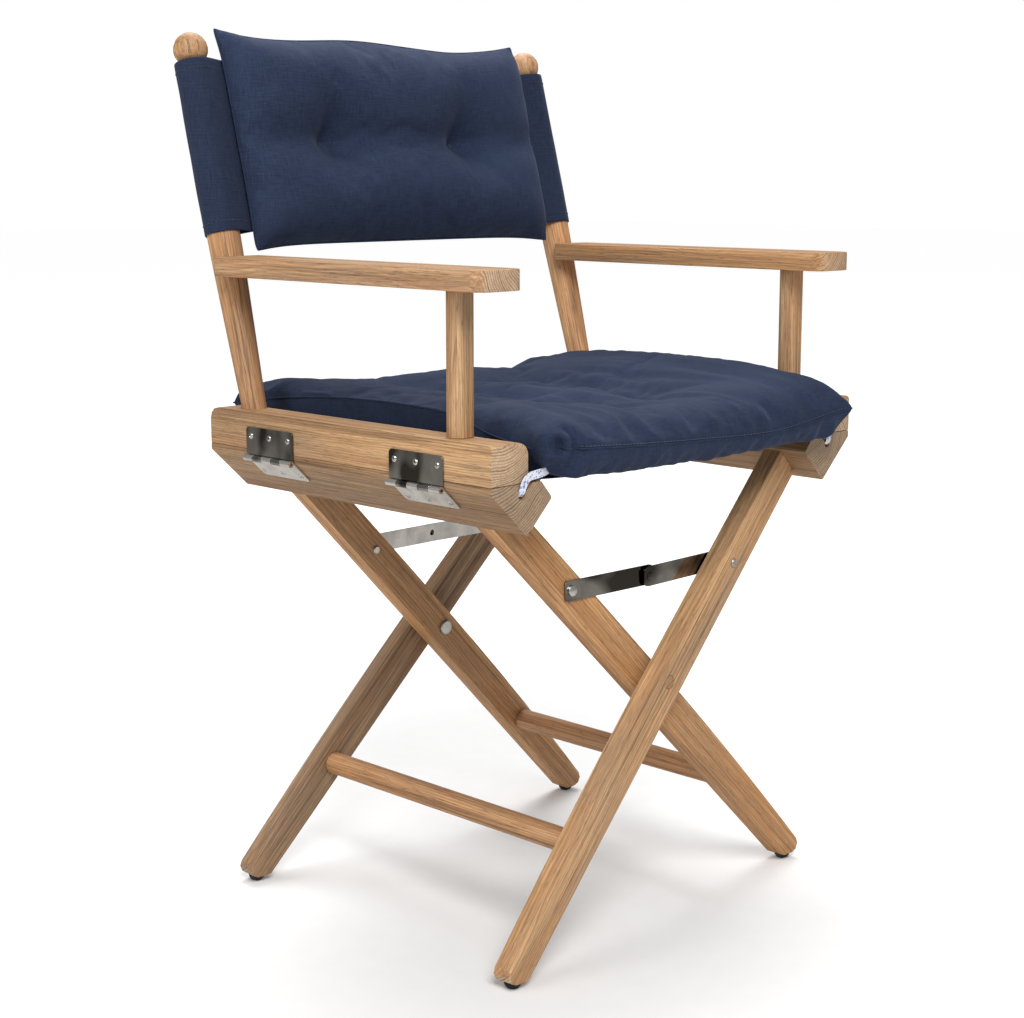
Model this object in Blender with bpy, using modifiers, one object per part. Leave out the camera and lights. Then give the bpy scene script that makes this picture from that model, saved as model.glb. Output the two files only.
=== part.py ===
"""Folding director's chair: teak frame, steel hinges and stays, woven seat and back.

Metres, +Z up.  The chair faces -Y, the sitter's left is +X.  The right pair of legs and the left
pair cross like scissors on two bolts; each arm side stands on its lower rail by two butt hinges.
"""
from math import asin, atan2, cos, pi, sin, sqrt

import bmesh
import bpy
from mathutils import Matrix, Vector

GAP = 0.0003                 # clearance between neighbouring pieces
LEFT, RIGHT = 1, -1          # side of the chair a rail is on, as the sign of X
FRONT, REAR = -1, 1          # end of the chair, as the sign of Y
SIDE_NAME = {LEFT: "left", RIGHT: "right"}
END_NAME = {FRONT: "front", REAR: "rear"}

# Scissor frame
PIVOT_Z = 0.248
LEG_MID_Y = -0.011           # the legs are centred a little in front of the origin
LEG_PIVOT_Y = {RIGHT: 0.1485, LEFT: 0.1775}     # the right pair crosses inside the left pair
LEG_SPREAD = 0.047           # how far a leg runs out in Y for each unit along it
LEG_LEAN = atan2(0.441, 0.4435)
LEG_THICK = 0.022
LEG_UNDER = -0.0195          # straight lower edge, measured across the leg from the pivot
LEG_UPPER = 0.0161           # bowed upper edge at the pivot
LEG_BOW_FOOT, LEG_BOW_TOP = 0.0105, 0.0020
LEG_TOP = 0.300              # past the rail face, trimmed to it
LEG_FOOT_Z = 0.0065
LEG_ROUND = 0.0045
FOOT_X = 0.2255
FOOT_R = 0.0085

PIVOT_R, PIVOT_HEAD_R, PIVOT_HEAD_T = 0.004, 0.008, 0.003
PLUG_R, PLUG_T = 0.007, 0.004
SPACER_R, SPACER_T = 0.009, 0.0055

STRETCHER_X, STRETCHER_Z, STRETCHER_R = 0.1315, 0.113, 0.0118
STRETCHER_TENON_R, STRETCHER_TENON = 0.0065, 0.012
STRETCHER_SHOULDER = 0.0013

# Folding stays
STAY_X, STAY_Z = 0.106, 0.352
STAY_W, STAY_T, STAY_END = 0.020, 0.0016, 0.009
STAY_LIFT = {RIGHT: 0.0006, LEFT: 0.0015}       # leg face to link
STAY_BOLT_R, STAY_RIVET_R = 0.0025, 0.0029

# Rails (the X values are for the left side)
RAIL_FRONT, RAIL_REAR = -0.218, 0.1865
RAIL_OUT, RAIL_IN = 0.2655, 0.2199
JOINT_Z = 0.476              # where the upper rail stands on the lower rail
UPPER_RAIL_TOP = 0.5127
UPPER_RAIL_ROUND = 0.012     # its inner top edge
LOWER_FACET_Z = 0.4695
LOWER_KEEL = (0.2211, 0.4276)
LOWER_NOSE = (0.1891, 0.4596)
LOWER_TOP_IN = 0.2032
BORE = (0.2280, 0.4655)      # bore for the seat sling's rod
BORE_R, SLOT_X, SLOT_HALF = 0.0041, 0.2155, 0.0011
ROD_R = 0.0024

# Hinges
HINGE_Y = (-0.1225, 0.0897)
HINGE_LEN, HINGE_T, HINGE_R, HINGE_PIN_R = 0.072, 0.0015, 0.0033, 0.0015
HINGE_SEGMENTS = 5
HINGE_CORNER_R = 0.004
HINGE_AXIS = (0.2691, 0.46795)
UPPER_LEAF_TOP = 0.4985
LOWER_LEAF_LEN = 0.031

# Arm side
ARM_IN, ARM_OUT = 0.215, 0.272
ARM_FRONT, ARM_REAR = -0.2120, 0.168
ARM_Z, ARM_T = 0.6445, 0.0188
POST_X, POST_Y, POST_W, POST_D = 0.2427, -0.1555, 0.024, 0.020
POST_TENON_R = 0.0065
BACK_FOOT = Vector((0.2418, 0.145, UPPER_RAIL_TOP))
BACK_BALL = Vector((0.2390, 0.2395, 0.8665))
BALL_R = 0.0175
BACK_TENON = 0.022
# radius of the back post at distances up from the rail
BACK_PROFILE = ((0.0124, 0.007), (0.0136, 0.049), (0.0147, 0.090), (0.0159, 0.132),
                (0.0165, 0.155), (0.0170, 0.194), (0.0168, 0.250), (0.0165, 0.347),
                (0.0157, 0.3505), (0.0120, 0.3545))

# Soft parts
CLOTH_T = 0.0014
SLING_FRONT, SLING_REAR = -0.212, 0.184
SLING_Z = 0.4778
BACK_SLING = (0.1773, 0.3510)          # distances up the back posts
BACK_PANEL_HALF = 0.2196
SEAT_CUSHION = ((-0.212, 0.212), (-0.257, 0.214), (0.4795, 0.541))
BACK_CUSHION_HALF = 0.2035
BACK_CUSHION = (0.1608, 0.3800)
BACK_CUSHION_T = 0.048

WOOD = ((0.52, 0.33, 0.17), 0.55, 0.0)
STEEL = ((0.62, 0.62, 0.62), 0.15, 1.0)
NAVY = ((0.022, 0.032, 0.068), 0.9, 0.0)
RUBBER = ((0.015, 0.015, 0.016), 0.7, 0.0)
WEBBING = ((0.75, 0.78, 0.85), 0.85, 0.0)


def clear_scene():
    for obj in list(bpy.data.objects):
        bpy.data.objects.remove(obj, do_unlink=True)


def new_collection(name, hidden=False):
    collection = bpy.data.collections.new(name)
    bpy.context.scene.collection.children.link(collection)
    collection.hide_render = hidden
    return collection


def material(name, look):
    colour, roughness, metallic = look
    mat = bpy.data.materials.new(name)
    mat.use_nodes = True
    shader = mat.node_tree.nodes["Principled BSDF"]
    shader.inputs["Base Color"].default_value = (*colour, 1.0)
    shader.inputs["Roughness"].default_value = roughness
    shader.inputs["Metallic"].default_value = metallic
    return mat


clear_scene()
CHAIR = new_collection("director_chair")
CUTTERS = new_collection("cutters")


# ---------------------------------------------------------------- building blocks

def add_piece(name, mesh, look, matrix=None, parent=None):
    obj = bpy.data.objects.new(name, mesh)
    CHAIR.objects.link(obj)
    mesh.materials.append(material(name, look))
    if parent is not None:
        obj.parent = parent
        obj.matrix_parent_inverse = parent.matrix_world.inverted()
    obj.matrix_world = matrix or Matrix.Identity(4)
    return obj


def add_empty(name, place):
    empty = bpy.data.objects.new(name, None)
    empty.empty_display_size = 0.03
    CHAIR.objects.link(empty)
    empty.location = place
    bpy.context.view_layer.update()
    return empty


def finish_mesh(bm, name):
    bmesh.ops.remove_doubles(bm, verts=bm.verts, dist=1e-6)
    bmesh.ops.recalc_face_normals(bm, faces=bm.faces)
    mesh = bpy.data.meshes.new(name)
    bm.to_mesh(mesh)
    bm.free()
    return mesh


def outline_mesh(name, loops, depth):
    """A flat outline, with any holes, thickened equally to both sides of its plane."""
    curve = bpy.data.curves.new(name, "CURVE")
    curve.dimensions = "2D"
    curve.fill_mode = "BOTH"
    curve.extrude = depth / 2
    for loop in loops:
        spline = curve.splines.new("POLY")
        spline.points.add(len(loop) - 1)
        for point, (x, y) in zip(spline.points, loop):
            point.co = (x, y, 0, 1)
        spline.use_cyclic_u = True
    holder = bpy.data.objects.new(name, curve)
    CUTTERS.objects.link(holder)
    bpy.context.view_layer.update()
    bm = bmesh.new()
    evaluated = holder.evaluated_get(bpy.context.evaluated_depsgraph_get())
    bm.from_mesh(bpy.data.meshes.new_from_object(evaluated))
    bpy.data.objects.remove(holder, do_unlink=True)
    return finish_mesh(bm, name)


def cylinder_mesh(name, radius, length, segments=16):
    bm = bmesh.new()
    bmesh.ops.create_cone(bm, cap_ends=True, segments=segments, radius1=radius,
                          radius2=radius, depth=length)
    return finish_mesh(bm, name)


def box_mesh(name, size):
    bm = bmesh.new()
    bmesh.ops.create_cube(bm, size=1.0, matrix=Matrix.Diagonal((*size, 1.0)))
    return finish_mesh(bm, name)


def turned(name, profile, look, matrix, parent=None, steps=16, closed=False):
    """A turned piece: (radius, height) points spun about the local Z axis."""
    mesh = bpy.data.meshes.new(name)
    points = [(radius, 0, height) for radius, height in profile]
    edges = [(i, i + 1) for i in range(len(points) - 1)]
    if closed:
        edges.append((len(points) - 1, 0))
    mesh.from_pydata(points, edges, [])
    obj = add_piece(name, mesh, look, matrix, parent)
    screw = obj.modifiers.new("Turn", "SCREW")
    screw.axis = "Z"
    screw.steps = screw.render_steps = steps
    screw.use_merge_vertices = True
    screw.merge_threshold = 1e-5
    loop = zip(profile, [*profile[1:], profile[0]])
    screw.use_normal_flip = sum(r0 * z1 - r1 * z0 for (r0, z0), (r1, z1) in loop) > 0
    screw.use_smooth_shade = False
    return obj


def bevel(obj, width, segments=3, angle=0.7):
    mod = obj.modifiers.new("Round", "BEVEL")
    mod.width = width
    mod.segments = segments
    mod.limit_method = "ANGLE"
    mod.angle_limit = angle


def boolean(obj, mesh, matrix, operation="DIFFERENCE"):
    tool = bpy.data.objects.new(obj.name + "_tool", mesh)
    CUTTERS.objects.link(tool)
    tool.matrix_world = matrix
    tool.hide_render = True
    tool.display_type = "WIRE"
    mod = obj.modifiers.new(operation.title(), "BOOLEAN")
    mod.operation = operation
    mod.solver = "EXACT"
    mod.object = tool


def aim(place, direction):
    """A placement whose local Z runs along direction."""
    turn = Vector(direction).to_track_quat("Z", "Y").to_matrix().to_4x4()
    return Matrix.Translation(place) @ turn


def drill(obj, radius, start, end, segments=16):
    start, end = Vector(start), Vector(end)
    mesh = cylinder_mesh("drill", radius, (end - start).length, segments)
    boolean(obj, mesh, aim((start + end) / 2, end - start))


def upright(place):
    """A placement that stands an outline drawn in XY up in the XZ plane, facing -Y."""
    return Matrix.Translation(place) @ Matrix.Rotation(pi / 2, 4, "X")


def rounded(corners, steps=3):
    """Corners as (x, y, radius), turned into an outline with those corners rounded."""
    points = []
    for i, (x, y, radius) in enumerate(corners):
        here = Vector((x, y))
        if radius == 0:
            points.append((x, y))
            continue
        before = (Vector(corners[i - 1][:2]) - here).normalized()
        after = (Vector(corners[(i + 1) % len(corners)][:2]) - here).normalized()
        half = before.angle(after) / 2
        reach = radius / (sin(half) / cos(half))
        centre = here + (before + after).normalized() * (radius / sin(half))
        first, last = here + before * reach - centre, here + after * reach - centre
        turn = first.angle_signed(last)
        for k in range(steps + 1):
            points.append(tuple(centre + Matrix.Rotation(-turn * k / steps, 2) @ first))
    return points


def mirrored(points, side):
    return [(side * x, z) for x, z in points]


# ---------------------------------------------------------------- scissor frames

class Leg:
    """Where one leg runs: its origin is the scissor axis, local X runs down the leg."""

    def __init__(self, side, end):
        self.side, self.end = side, end
        down = Vector((-side * cos(LEG_LEAN), end * LEG_SPREAD, -sin(LEG_LEAN))).normalized()
        up = Vector((-side * sin(LEG_LEAN), 0, cos(LEG_LEAN)))
        through = down.cross(up)
        self.out = end if through.y > 0 else -end
        self.origin = Vector((0, LEG_MID_Y + end * LEG_PIVOT_Y[side], PIVOT_Z))
        axes = Matrix((down, up, through)).transposed().to_4x4()
        self.frame = Matrix.Translation(self.origin) @ axes
        self.outward = through * self.out

    def place(self, x, z, depth=0.0):
        """The world point at (x, z) on the leg's mid plane moved outwards by depth."""
        flat = Vector((x, 0, z - PIVOT_Z))
        y = self.origin.y + (depth - flat.dot(self.outward)) / self.outward.y
        return Vector((x, y, z))


def leg_outline():
    def z_cut(across):
        return (PIVOT_Z - LEG_FOOT_Z + across * cos(LEG_LEAN)) / sin(LEG_LEAN)

    upper_foot = LEG_UPPER - LEG_BOW_FOOT
    corners = [(-LEG_TOP, LEG_UNDER, 0), (z_cut(LEG_UNDER), LEG_UNDER, 0.006),
               (z_cut(upper_foot), upper_foot, 0.009)]
    length = z_cut(upper_foot)
    for k in range(5, 0, -1):
        corners.append((length * k / 6, LEG_UPPER - LEG_BOW_FOOT * (k / 6) ** 2, 0))
    for k in range(0, 6):
        corners.append((-LEG_TOP * k / 5, LEG_UPPER - LEG_BOW_TOP * (k / 5) ** 2, 0))
    return rounded(corners)


def rail_face(side):
    """A block that starts at the lower rail's inner lower face, less the clearance."""
    size = 0.12
    middle = Vector(((LOWER_KEEL[0] + LOWER_NOSE[0]) / 2 * side, 0,
                     (LOWER_KEEL[1] + LOWER_NOSE[1]) / 2))
    normal = Vector((side, 0, 1)).normalized()
    place = middle + normal * (size / 2 - GAP) + Vector((0, LEG_MID_Y, 0))
    return box_mesh("rail_face", (size, 0.6, size)), (
        Matrix.Translation(place) @ Matrix.Rotation(side * -pi / 4, 4, "Y"))


def build_frame(side, frame):
    """Two legs, their feet, stretcher, lower rail, and what is fixed to them."""
    name = SIDE_NAME[side]
    for end in (FRONT, REAR):
        leg = Leg(side, end)
        label = f"{name}_{END_NAME[end]}"
        obj = add_piece(f"leg_{label}", outline_mesh("leg", [leg_outline()], LEG_THICK), WOOD,
                        leg.frame, frame)
        bevel(obj, LEG_ROUND, 2)
        boolean(obj, *rail_face(side))
        half = Vector((0, LEG_THICK, 0))
        drill(obj, PIVOT_R + GAP, leg.origin - half, leg.origin + half)
        hole = leg.place(side * STAY_X, STAY_Z)
        drill(obj, STAY_BOLT_R + GAP, hole - leg.outward * LEG_THICK,
              hole + leg.outward * LEG_THICK, 12)
        socket = leg.place(-side * STRETCHER_X, STRETCHER_Z, -LEG_THICK / 2)
        deep = Vector((0, end * (STRETCHER_TENON + 0.001), 0))
        drill(obj, STRETCHER_TENON_R + GAP, socket - deep, socket + deep)
        if side == LEFT:
            face = leg.origin + Vector((0, end * LEG_THICK / 2, 0))
            deep = Vector((0, end * (PLUG_T + GAP), 0))
            drill(obj, PLUG_R + GAP, face - deep, face + deep)
            turned(f"pivot_plug_{END_NAME[end]}",
                   ((0, 0), (PLUG_R, 0), (PLUG_R, PLUG_T - 0.0004), (PLUG_R - 0.0006, PLUG_T),
                    (0, PLUG_T)), WOOD, aim(face - deep * 0.95, deep), frame)
        foot = leg.place(-side * FOOT_X, 0)
        foot.z = 0
        turned(f"foot_pad_{label}",
               ((0, 0), (0.0035, 0), (0.006, 0.0012), (0.0078, 0.0034),
                (FOOT_R, LEG_FOOT_Z - GAP), (0.002, LEG_FOOT_Z - GAP), (0.002, 0.014), (0, 0.014)),
               RUBBER, Matrix.Translation(foot), frame)
        drill(obj, 0.002 + GAP, foot, foot + Vector((0, 0, 0.0145)))
        add_stay_bolt(leg, label, frame)

    inner = Leg(side, REAR).place(-side * STRETCHER_X, STRETCHER_Z, -LEG_THICK / 2)
    reach = inner.y - LEG_MID_Y - STRETCHER_SHOULDER
    tip = reach + STRETCHER_TENON
    turned(f"stretcher_{name}",
           ((0, -tip), (STRETCHER_TENON_R, -tip), (STRETCHER_TENON_R, -reach),
            (STRETCHER_R, -reach), (STRETCHER_R, reach), (STRETCHER_TENON_R, reach),
            (STRETCHER_TENON_R, tip), (0, tip)), WOOD,
           aim((-side * STRETCHER_X, LEG_MID_Y, STRETCHER_Z), (0, 1, 0)), frame)
    build_lower_rail(side, frame)


def add_stay_bolt(leg, label, frame):
    """The bolt through a leg that holds one end of a stay, along the leg's thickness."""
    half = LEG_THICK / 2 + GAP
    link = LEG_THICK / 2 + STAY_LIFT[leg.side] + STAY_T + GAP
    shank = STAY_BOLT_R
    profile = ((0, -half - 0.0020), (0.0036, -half - 0.0020), (0.0045, -half - 0.0012),
               (0.0045, -half), (shank, -half), (shank, link), (0.0055, link),
               (0.0055, link + 0.0014), (0.0040, link + 0.0022), (0, link + 0.0022))
    towards_link = leg.outward if leg.side == RIGHT else -leg.outward
    turned(f"stay_bolt_{label}", profile, STEEL,
           aim(leg.place(leg.side * STAY_X, STAY_Z), towards_link), frame, 12)


def build_lower_rail(side, frame):
    name = SIDE_NAME[side]
    bore = []
    slot = Vector((SLOT_X - BORE[0], JOINT_Z - BORE[1]))
    start = atan2(slot.y, slot.x) + asin(SLOT_HALF / BORE_R)
    sweep = 2 * pi - 2 * asin(SLOT_HALF / BORE_R)
    for k in range(15):
        angle = start + sweep * k / 14
        bore.append((BORE[0] + BORE_R * cos(angle), BORE[1] + BORE_R * sin(angle), 0))
    mouth = SLOT_HALF / sin(atan2(slot.y, -slot.x))
    top = [(LOWER_TOP_IN, JOINT_Z, 0.003), (SLOT_X - mouth, JOINT_Z, 0)]
    outline = rounded(top + bore + [
        (SLOT_X + mouth, JOINT_Z, 0), (RAIL_OUT, JOINT_Z, 0.001),
        (RAIL_OUT, LOWER_FACET_Z, 0.001), (*LOWER_KEEL, 0.0015), (*LOWER_NOSE, 0.003)])
    length, middle = RAIL_REAR - RAIL_FRONT, (RAIL_REAR + RAIL_FRONT) / 2
    add_piece(f"lower_rail_{name}", outline_mesh("lower_rail", [mirrored(outline, side)], length),
              WOOD, upright((0, middle, 0)), frame)
    rod = SLING_REAR - SLING_FRONT - 0.002
    add_piece(f"sling_rod_{name}", cylinder_mesh("rod", ROD_R, rod, 12), STEEL,
              aim((side * BORE[0], (SLING_REAR + SLING_FRONT) / 2, BORE[1]), (0, 1, 0)), frame)
    # webbing tab that comes out of the front of the bore and turns in over the rail
    tab = rounded([(0.2240, 0.4650, 0.001), (0.2320, 0.4650, 0.001), (0.2320, 0.4790, 0.004),
                   (0.2260, 0.4860, 0.002), (0.2120, 0.4860, 0.001), (0.2120, 0.4780, 0.001),
                   (0.2220, 0.4780, 0.002)])
    add_piece(f"webbing_tab_{name}", outline_mesh("tab", [mirrored(tab, side)], 0.001), WEBBING,
              upright((0, RAIL_FRONT - 0.0010, 0)), frame)


# ---------------------------------------------------------------- hinges

def leaf_run(upper):
    """Direction of a leaf's plate away from the knuckle, in the XZ plane, and how far it goes."""
    if upper:
        return Vector((0, 1)), UPPER_LEAF_TOP - HINGE_AXIS[1]
    facet, keel = Vector((RAIL_OUT, LOWER_FACET_Z)), Vector(LOWER_KEEL)
    return (keel - facet).normalized(), LOWER_LEAF_LEN


def leaf_outline(upper, side):
    """Section of a leaf: a flat strip that runs into the knuckle's ring, and the pin hole."""
    centre = Vector(HINGE_AXIS)
    run, far = leaf_run(upper)
    inward = Vector((run.y, -run.x))
    if inward.x > 0:
        inward = -inward
    points = [centre + inward * HINGE_R + run * far,
              centre + inward * (HINGE_R - HINGE_T) + run * far]
    lift = HINGE_R - HINGE_T
    meet = sqrt(HINGE_R ** 2 - lift ** 2)
    points.append(centre + inward * lift + run * meet)
    start = atan2(meet, lift)
    for k in range(1, 15):
        angle = start + (2 * pi - start) * k / 14
        points.append(centre + (inward * cos(angle) + run * sin(angle)) * HINGE_R)
    hole = [centre + Vector((cos(a), sin(a))) * (HINGE_PIN_R + 0.0001)
            for a in (2 * pi * k / 16 for k in range(16))]
    return [mirrored([tuple(p) for p in loop], side) for loop in (points, hole)]


def round_leaf(obj, side, y, run, far):
    """Rounds the two far corners of a leaf's plate."""
    half, near = HINGE_LEN / 2 + 0.001, -0.010
    plate = rounded([(-half, near, 0), (half, near, 0), (half - 0.001, far, HINGE_CORNER_R),
                     (0.001 - half, far, HINGE_CORNER_R)])
    along, down = Vector((0, 1, 0)), Vector((side * run.x, 0, run.y))
    axes = Matrix((along, down, along.cross(down))).transposed().to_4x4()
    place = Matrix.Translation((side * HINGE_AXIS[0], y, HINGE_AXIS[1]))
    boolean(obj, outline_mesh("plate", [plate], 0.02), place @ axes, "INTERSECT")


def build_hinge(side, y, end, frame, arm):
    label = f"{SIDE_NAME[side]}_{end}"
    segment = HINGE_LEN / HINGE_SEGMENTS
    for upper, parent, keeps in ((True, arm, (1, 3)), (False, frame, (0, 2, 4))):
        name = f"hinge_{'upper' if upper else 'lower'}_leaf_{label}"
        obj = add_piece(name, outline_mesh("leaf", leaf_outline(upper, side), HINGE_LEN), STEEL,
                        upright((0, y, 0)), parent)
        round_leaf(obj, side, y, *leaf_run(upper))
        for k in range(HINGE_SEGMENTS):
            if k in keeps:
                continue
            first = y - HINGE_LEN / 2 + segment * k - GAP / 2
            last = first + segment + GAP
            if k == 0:
                first -= 0.002
            if k == HINGE_SEGMENTS - 1:
                last += 0.002
            drill(obj, HINGE_R + 0.0006, (side * HINGE_AXIS[0], first, HINGE_AXIS[1]),
                  (side * HINGE_AXIS[0], last, HINGE_AXIS[1]))
    add_piece(f"hinge_pin_{label}", cylinder_mesh("pin", HINGE_PIN_R, HINGE_LEN + 0.001, 16),
              STEEL, aim((side * HINGE_AXIS[0], y, HINGE_AXIS[1]), (0, 1, 0)), frame)


# ---------------------------------------------------------------- arm sides

def back_axis(side):
    foot = Vector((side * BACK_FOOT.x, BACK_FOOT.y, BACK_FOOT.z))
    ball = Vector((side * BACK_BALL.x, BACK_BALL.y, BACK_BALL.z))
    return foot, ball


def post_radius(height):
    points = [(radius, up) for radius, up in BACK_PROFILE]
    for (r0, h0), (r1, h1) in zip(points, points[1:]):
        if h0 <= height <= h1:
            return r0 + (r1 - r0) * (height - h0) / (h1 - h0)
    return points[0][0] if height < points[0][1] else points[-1][0]


def build_arm_side(side, arm):
    name = SIDE_NAME[side]
    foot, ball = back_axis(side)
    lean, length = (ball - foot).normalized(), (ball - foot).length
    turn = aim(foot, lean)

    profile = [(0, -BACK_TENON), (BACK_PROFILE[0][0] - 0.0002, -BACK_TENON), *BACK_PROFILE]
    low = asin((length - 0.3560) / BALL_R)
    for k in range(8):
        angle = -low + (pi / 2 + low) * k / 7
        profile.append((BALL_R * cos(angle) if k < 7 else 0, length + BALL_R * sin(angle)))
    turned(f"back_post_{name}", profile, WOOD, turn, arm, 20)

    # upper rail, drawn from the side
    rail = rounded([(RAIL_FRONT, JOINT_Z + GAP, 0.001), (RAIL_REAR, JOINT_Z + GAP, 0.001),
                    (RAIL_REAR, UPPER_RAIL_TOP, 0.012), (RAIL_FRONT, UPPER_RAIL_TOP, 0.004)])
    width, middle = RAIL_OUT - RAIL_IN, side * (RAIL_OUT + RAIL_IN) / 2
    sideways = Matrix.Rotation(pi / 2, 4, "Z") @ Matrix.Rotation(pi / 2, 4, "X")
    obj = add_piece(f"upper_rail_{name}", outline_mesh("upper_rail", [rail], width), WOOD,
                    Matrix.Translation((middle, 0, 0)) @ sideways, arm)
    bevel(obj, 0.002, 2)
    section = rounded([(RAIL_IN, UPPER_RAIL_TOP, UPPER_RAIL_ROUND), (RAIL_IN, JOINT_Z - 0.01, 0),
                       (RAIL_OUT + 0.01, JOINT_Z - 0.01, 0), (RAIL_OUT + 0.01, UPPER_RAIL_TOP, 0)],
                      6)
    boolean(obj, outline_mesh("section", [mirrored(section, side)], 1.0), upright((0, 0, 0)),
            "INTERSECT")
    drill(obj, BACK_PROFILE[0][0] + GAP, foot - lean * (BACK_TENON + 0.0005),
          foot + lean * 0.02, 20)
    tenon = 0.018
    post = Vector((side * POST_X, POST_Y, 0))
    drill(obj, POST_TENON_R + GAP, post + Vector((0, 0, UPPER_RAIL_TOP - tenon - 0.001)),
          post + Vector((0, 0, UPPER_RAIL_TOP + 0.01)))

    # front post with a round tenon at each end
    w, d, r = POST_W / 2, POST_D / 2, 0.0075
    section = rounded([(-w, -d, r), (w, -d, r), (w, d, r), (-w, d, r)])
    low_z, high_z = UPPER_RAIL_TOP + GAP, ARM_Z - GAP
    obj = add_piece(f"front_post_{name}", outline_mesh("post", [section], high_z - low_z), WOOD,
                    Matrix.Translation(post + Vector((0, 0, (low_z + high_z) / 2))), arm)
    top_tenon = 0.010
    tenon_length = high_z - low_z + tenon + top_tenon
    tenon_middle = Vector((0, 0, (low_z - tenon + high_z + top_tenon) / 2))
    boolean(obj, cylinder_mesh("tenon", POST_TENON_R, tenon_length),
            Matrix.Translation(post + tenon_middle), "UNION")

    # armrest
    flat = rounded([(ARM_IN, ARM_FRONT, 0.015), (ARM_OUT, ARM_FRONT, 0.015),
                    (ARM_OUT, ARM_REAR, 0.005), (ARM_IN, ARM_REAR, 0.005)])
    obj = add_piece(f"armrest_{name}", outline_mesh("armrest", [mirrored(flat, side)], ARM_T),
                    WOOD, Matrix.Translation((0, 0, ARM_Z + ARM_T / 2)), arm)
    bevel(obj, 0.0048, 2)
    drill(obj, POST_TENON_R + GAP, post + Vector((0, 0, ARM_Z - 0.01)),
          post + Vector((0, 0, ARM_Z + top_tenon + 0.001)))
    near = (ARM_Z + ARM_T / 2 - foot.z) / lean.z
    drill(obj, post_radius(near) + 4 * GAP, foot + lean * (near - 0.03),
          foot + lean * (near + 0.03), 20)

    # sleeve of the back sling round the post
    low, high = BACK_SLING
    heights = [low + (high - 0.004 - low) * k / 2 for k in range(3)] + [high]
    inner = [(post_radius(h) + GAP, h) for h in heights[:-1]]
    inner.append((inner[-1][0] - 0.0004, high))
    outer = [(radius + CLOTH_T, h) for radius, h in reversed(inner)]
    turned(f"back_sleeve_{name}", inner + outer, NAVY, turn, arm, 20, closed=True)


def build_stays(end, frames):
    """The two links of one stay.  Each turns on its own leg; the rivet rides the left link."""
    for side in (RIGHT, LEFT):
        leg = Leg(side, end)
        label = f"{SIDE_NAME[side]}_{END_NAME[end]}"
        bolt = leg.place(side * STAY_X, STAY_Z)
        pivot = add_empty(f"stay_axis_{label}", bolt)
        pivot.parent = frames[side]
        pivot.matrix_parent_inverse = frames[side].matrix_world.inverted()
        bpy.context.view_layer.update()
        link_side = 1 if side == RIGHT else -1
        depth = link_side * (LEG_THICK / 2 + STAY_LIFT[side] + STAY_T / 2)
        along = leg.place(0, STAY_Z) - bolt
        length = along.length
        across = leg.outward.cross(along.normalized())
        axes = Matrix((along.normalized(), across, leg.outward)).transposed().to_4x4()
        place = Matrix.Translation(bolt + leg.outward * depth) @ axes
        half = STAY_W / 2
        bar = rounded([(-STAY_END, -half, 0.0035), (length + STAY_END, -half, 0.0060),
                       (length + STAY_END, half, 0.0060), (-STAY_END, half, 0.0035)])
        holes = [[(x + radius * cos(a), radius * sin(a))
                  for a in (-2 * pi * k / 14 for k in range(14))]
                 for x, radius in ((0, STAY_BOLT_R + GAP), (length, STAY_RIVET_R + GAP))]
        add_piece(f"stay_link_{label}", outline_mesh("link", [bar, *holes], STAY_T), STEEL,
                  place, pivot)
        if side == LEFT:
            t = STAY_T / 2
            head = ((0, -t), (STAY_RIVET_R, -t), (STAY_RIVET_R, t + GAP), (0.0045, t + GAP),
                    (0.0038, t + 0.0009), (0, t + 0.0011))
            turned(f"stay_rivet_{END_NAME[end]}", head, STEEL,
                   place @ Matrix.Translation((length, 0, 0)), pivot, 12)


def build_pivots(end, frame):
    """Bolt and spacer on the scissor axis; the bolt rides the left pair of legs."""
    inner = LEG_MID_Y + end * (LEG_PIVOT_Y[RIGHT] - LEG_THICK / 2 - 0.0007)
    outer = LEG_MID_Y + end * (LEG_PIVOT_Y[LEFT] + LEG_THICK / 2 - PLUG_T - 3 * GAP)
    length = abs(outer - inner)
    turned(f"pivot_bolt_{END_NAME[end]}",
           ((0, -PIVOT_HEAD_T), (PIVOT_HEAD_R - 0.001, -PIVOT_HEAD_T),
            (PIVOT_HEAD_R, -PIVOT_HEAD_T + 0.001), (PIVOT_HEAD_R, 0), (PIVOT_R, 0),
            (PIVOT_R, length), (0, length)), STEEL,
           aim((0, inner, PIVOT_Z), (0, end, 0)), frame)
    middle = LEG_MID_Y + end * (LEG_PIVOT_Y[RIGHT] + LEG_PIVOT_Y[LEFT]) / 2
    half = SPACER_T / 2
    turned(f"pivot_spacer_{END_NAME[end]}",
           ((PIVOT_R + GAP, -half), (SPACER_R, -half), (SPACER_R, half), (PIVOT_R + GAP, half)),
           STEEL, aim((0, middle, PIVOT_Z), (0, 1, 0)), frame, closed=True)


# ---------------------------------------------------------------- soft parts

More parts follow.
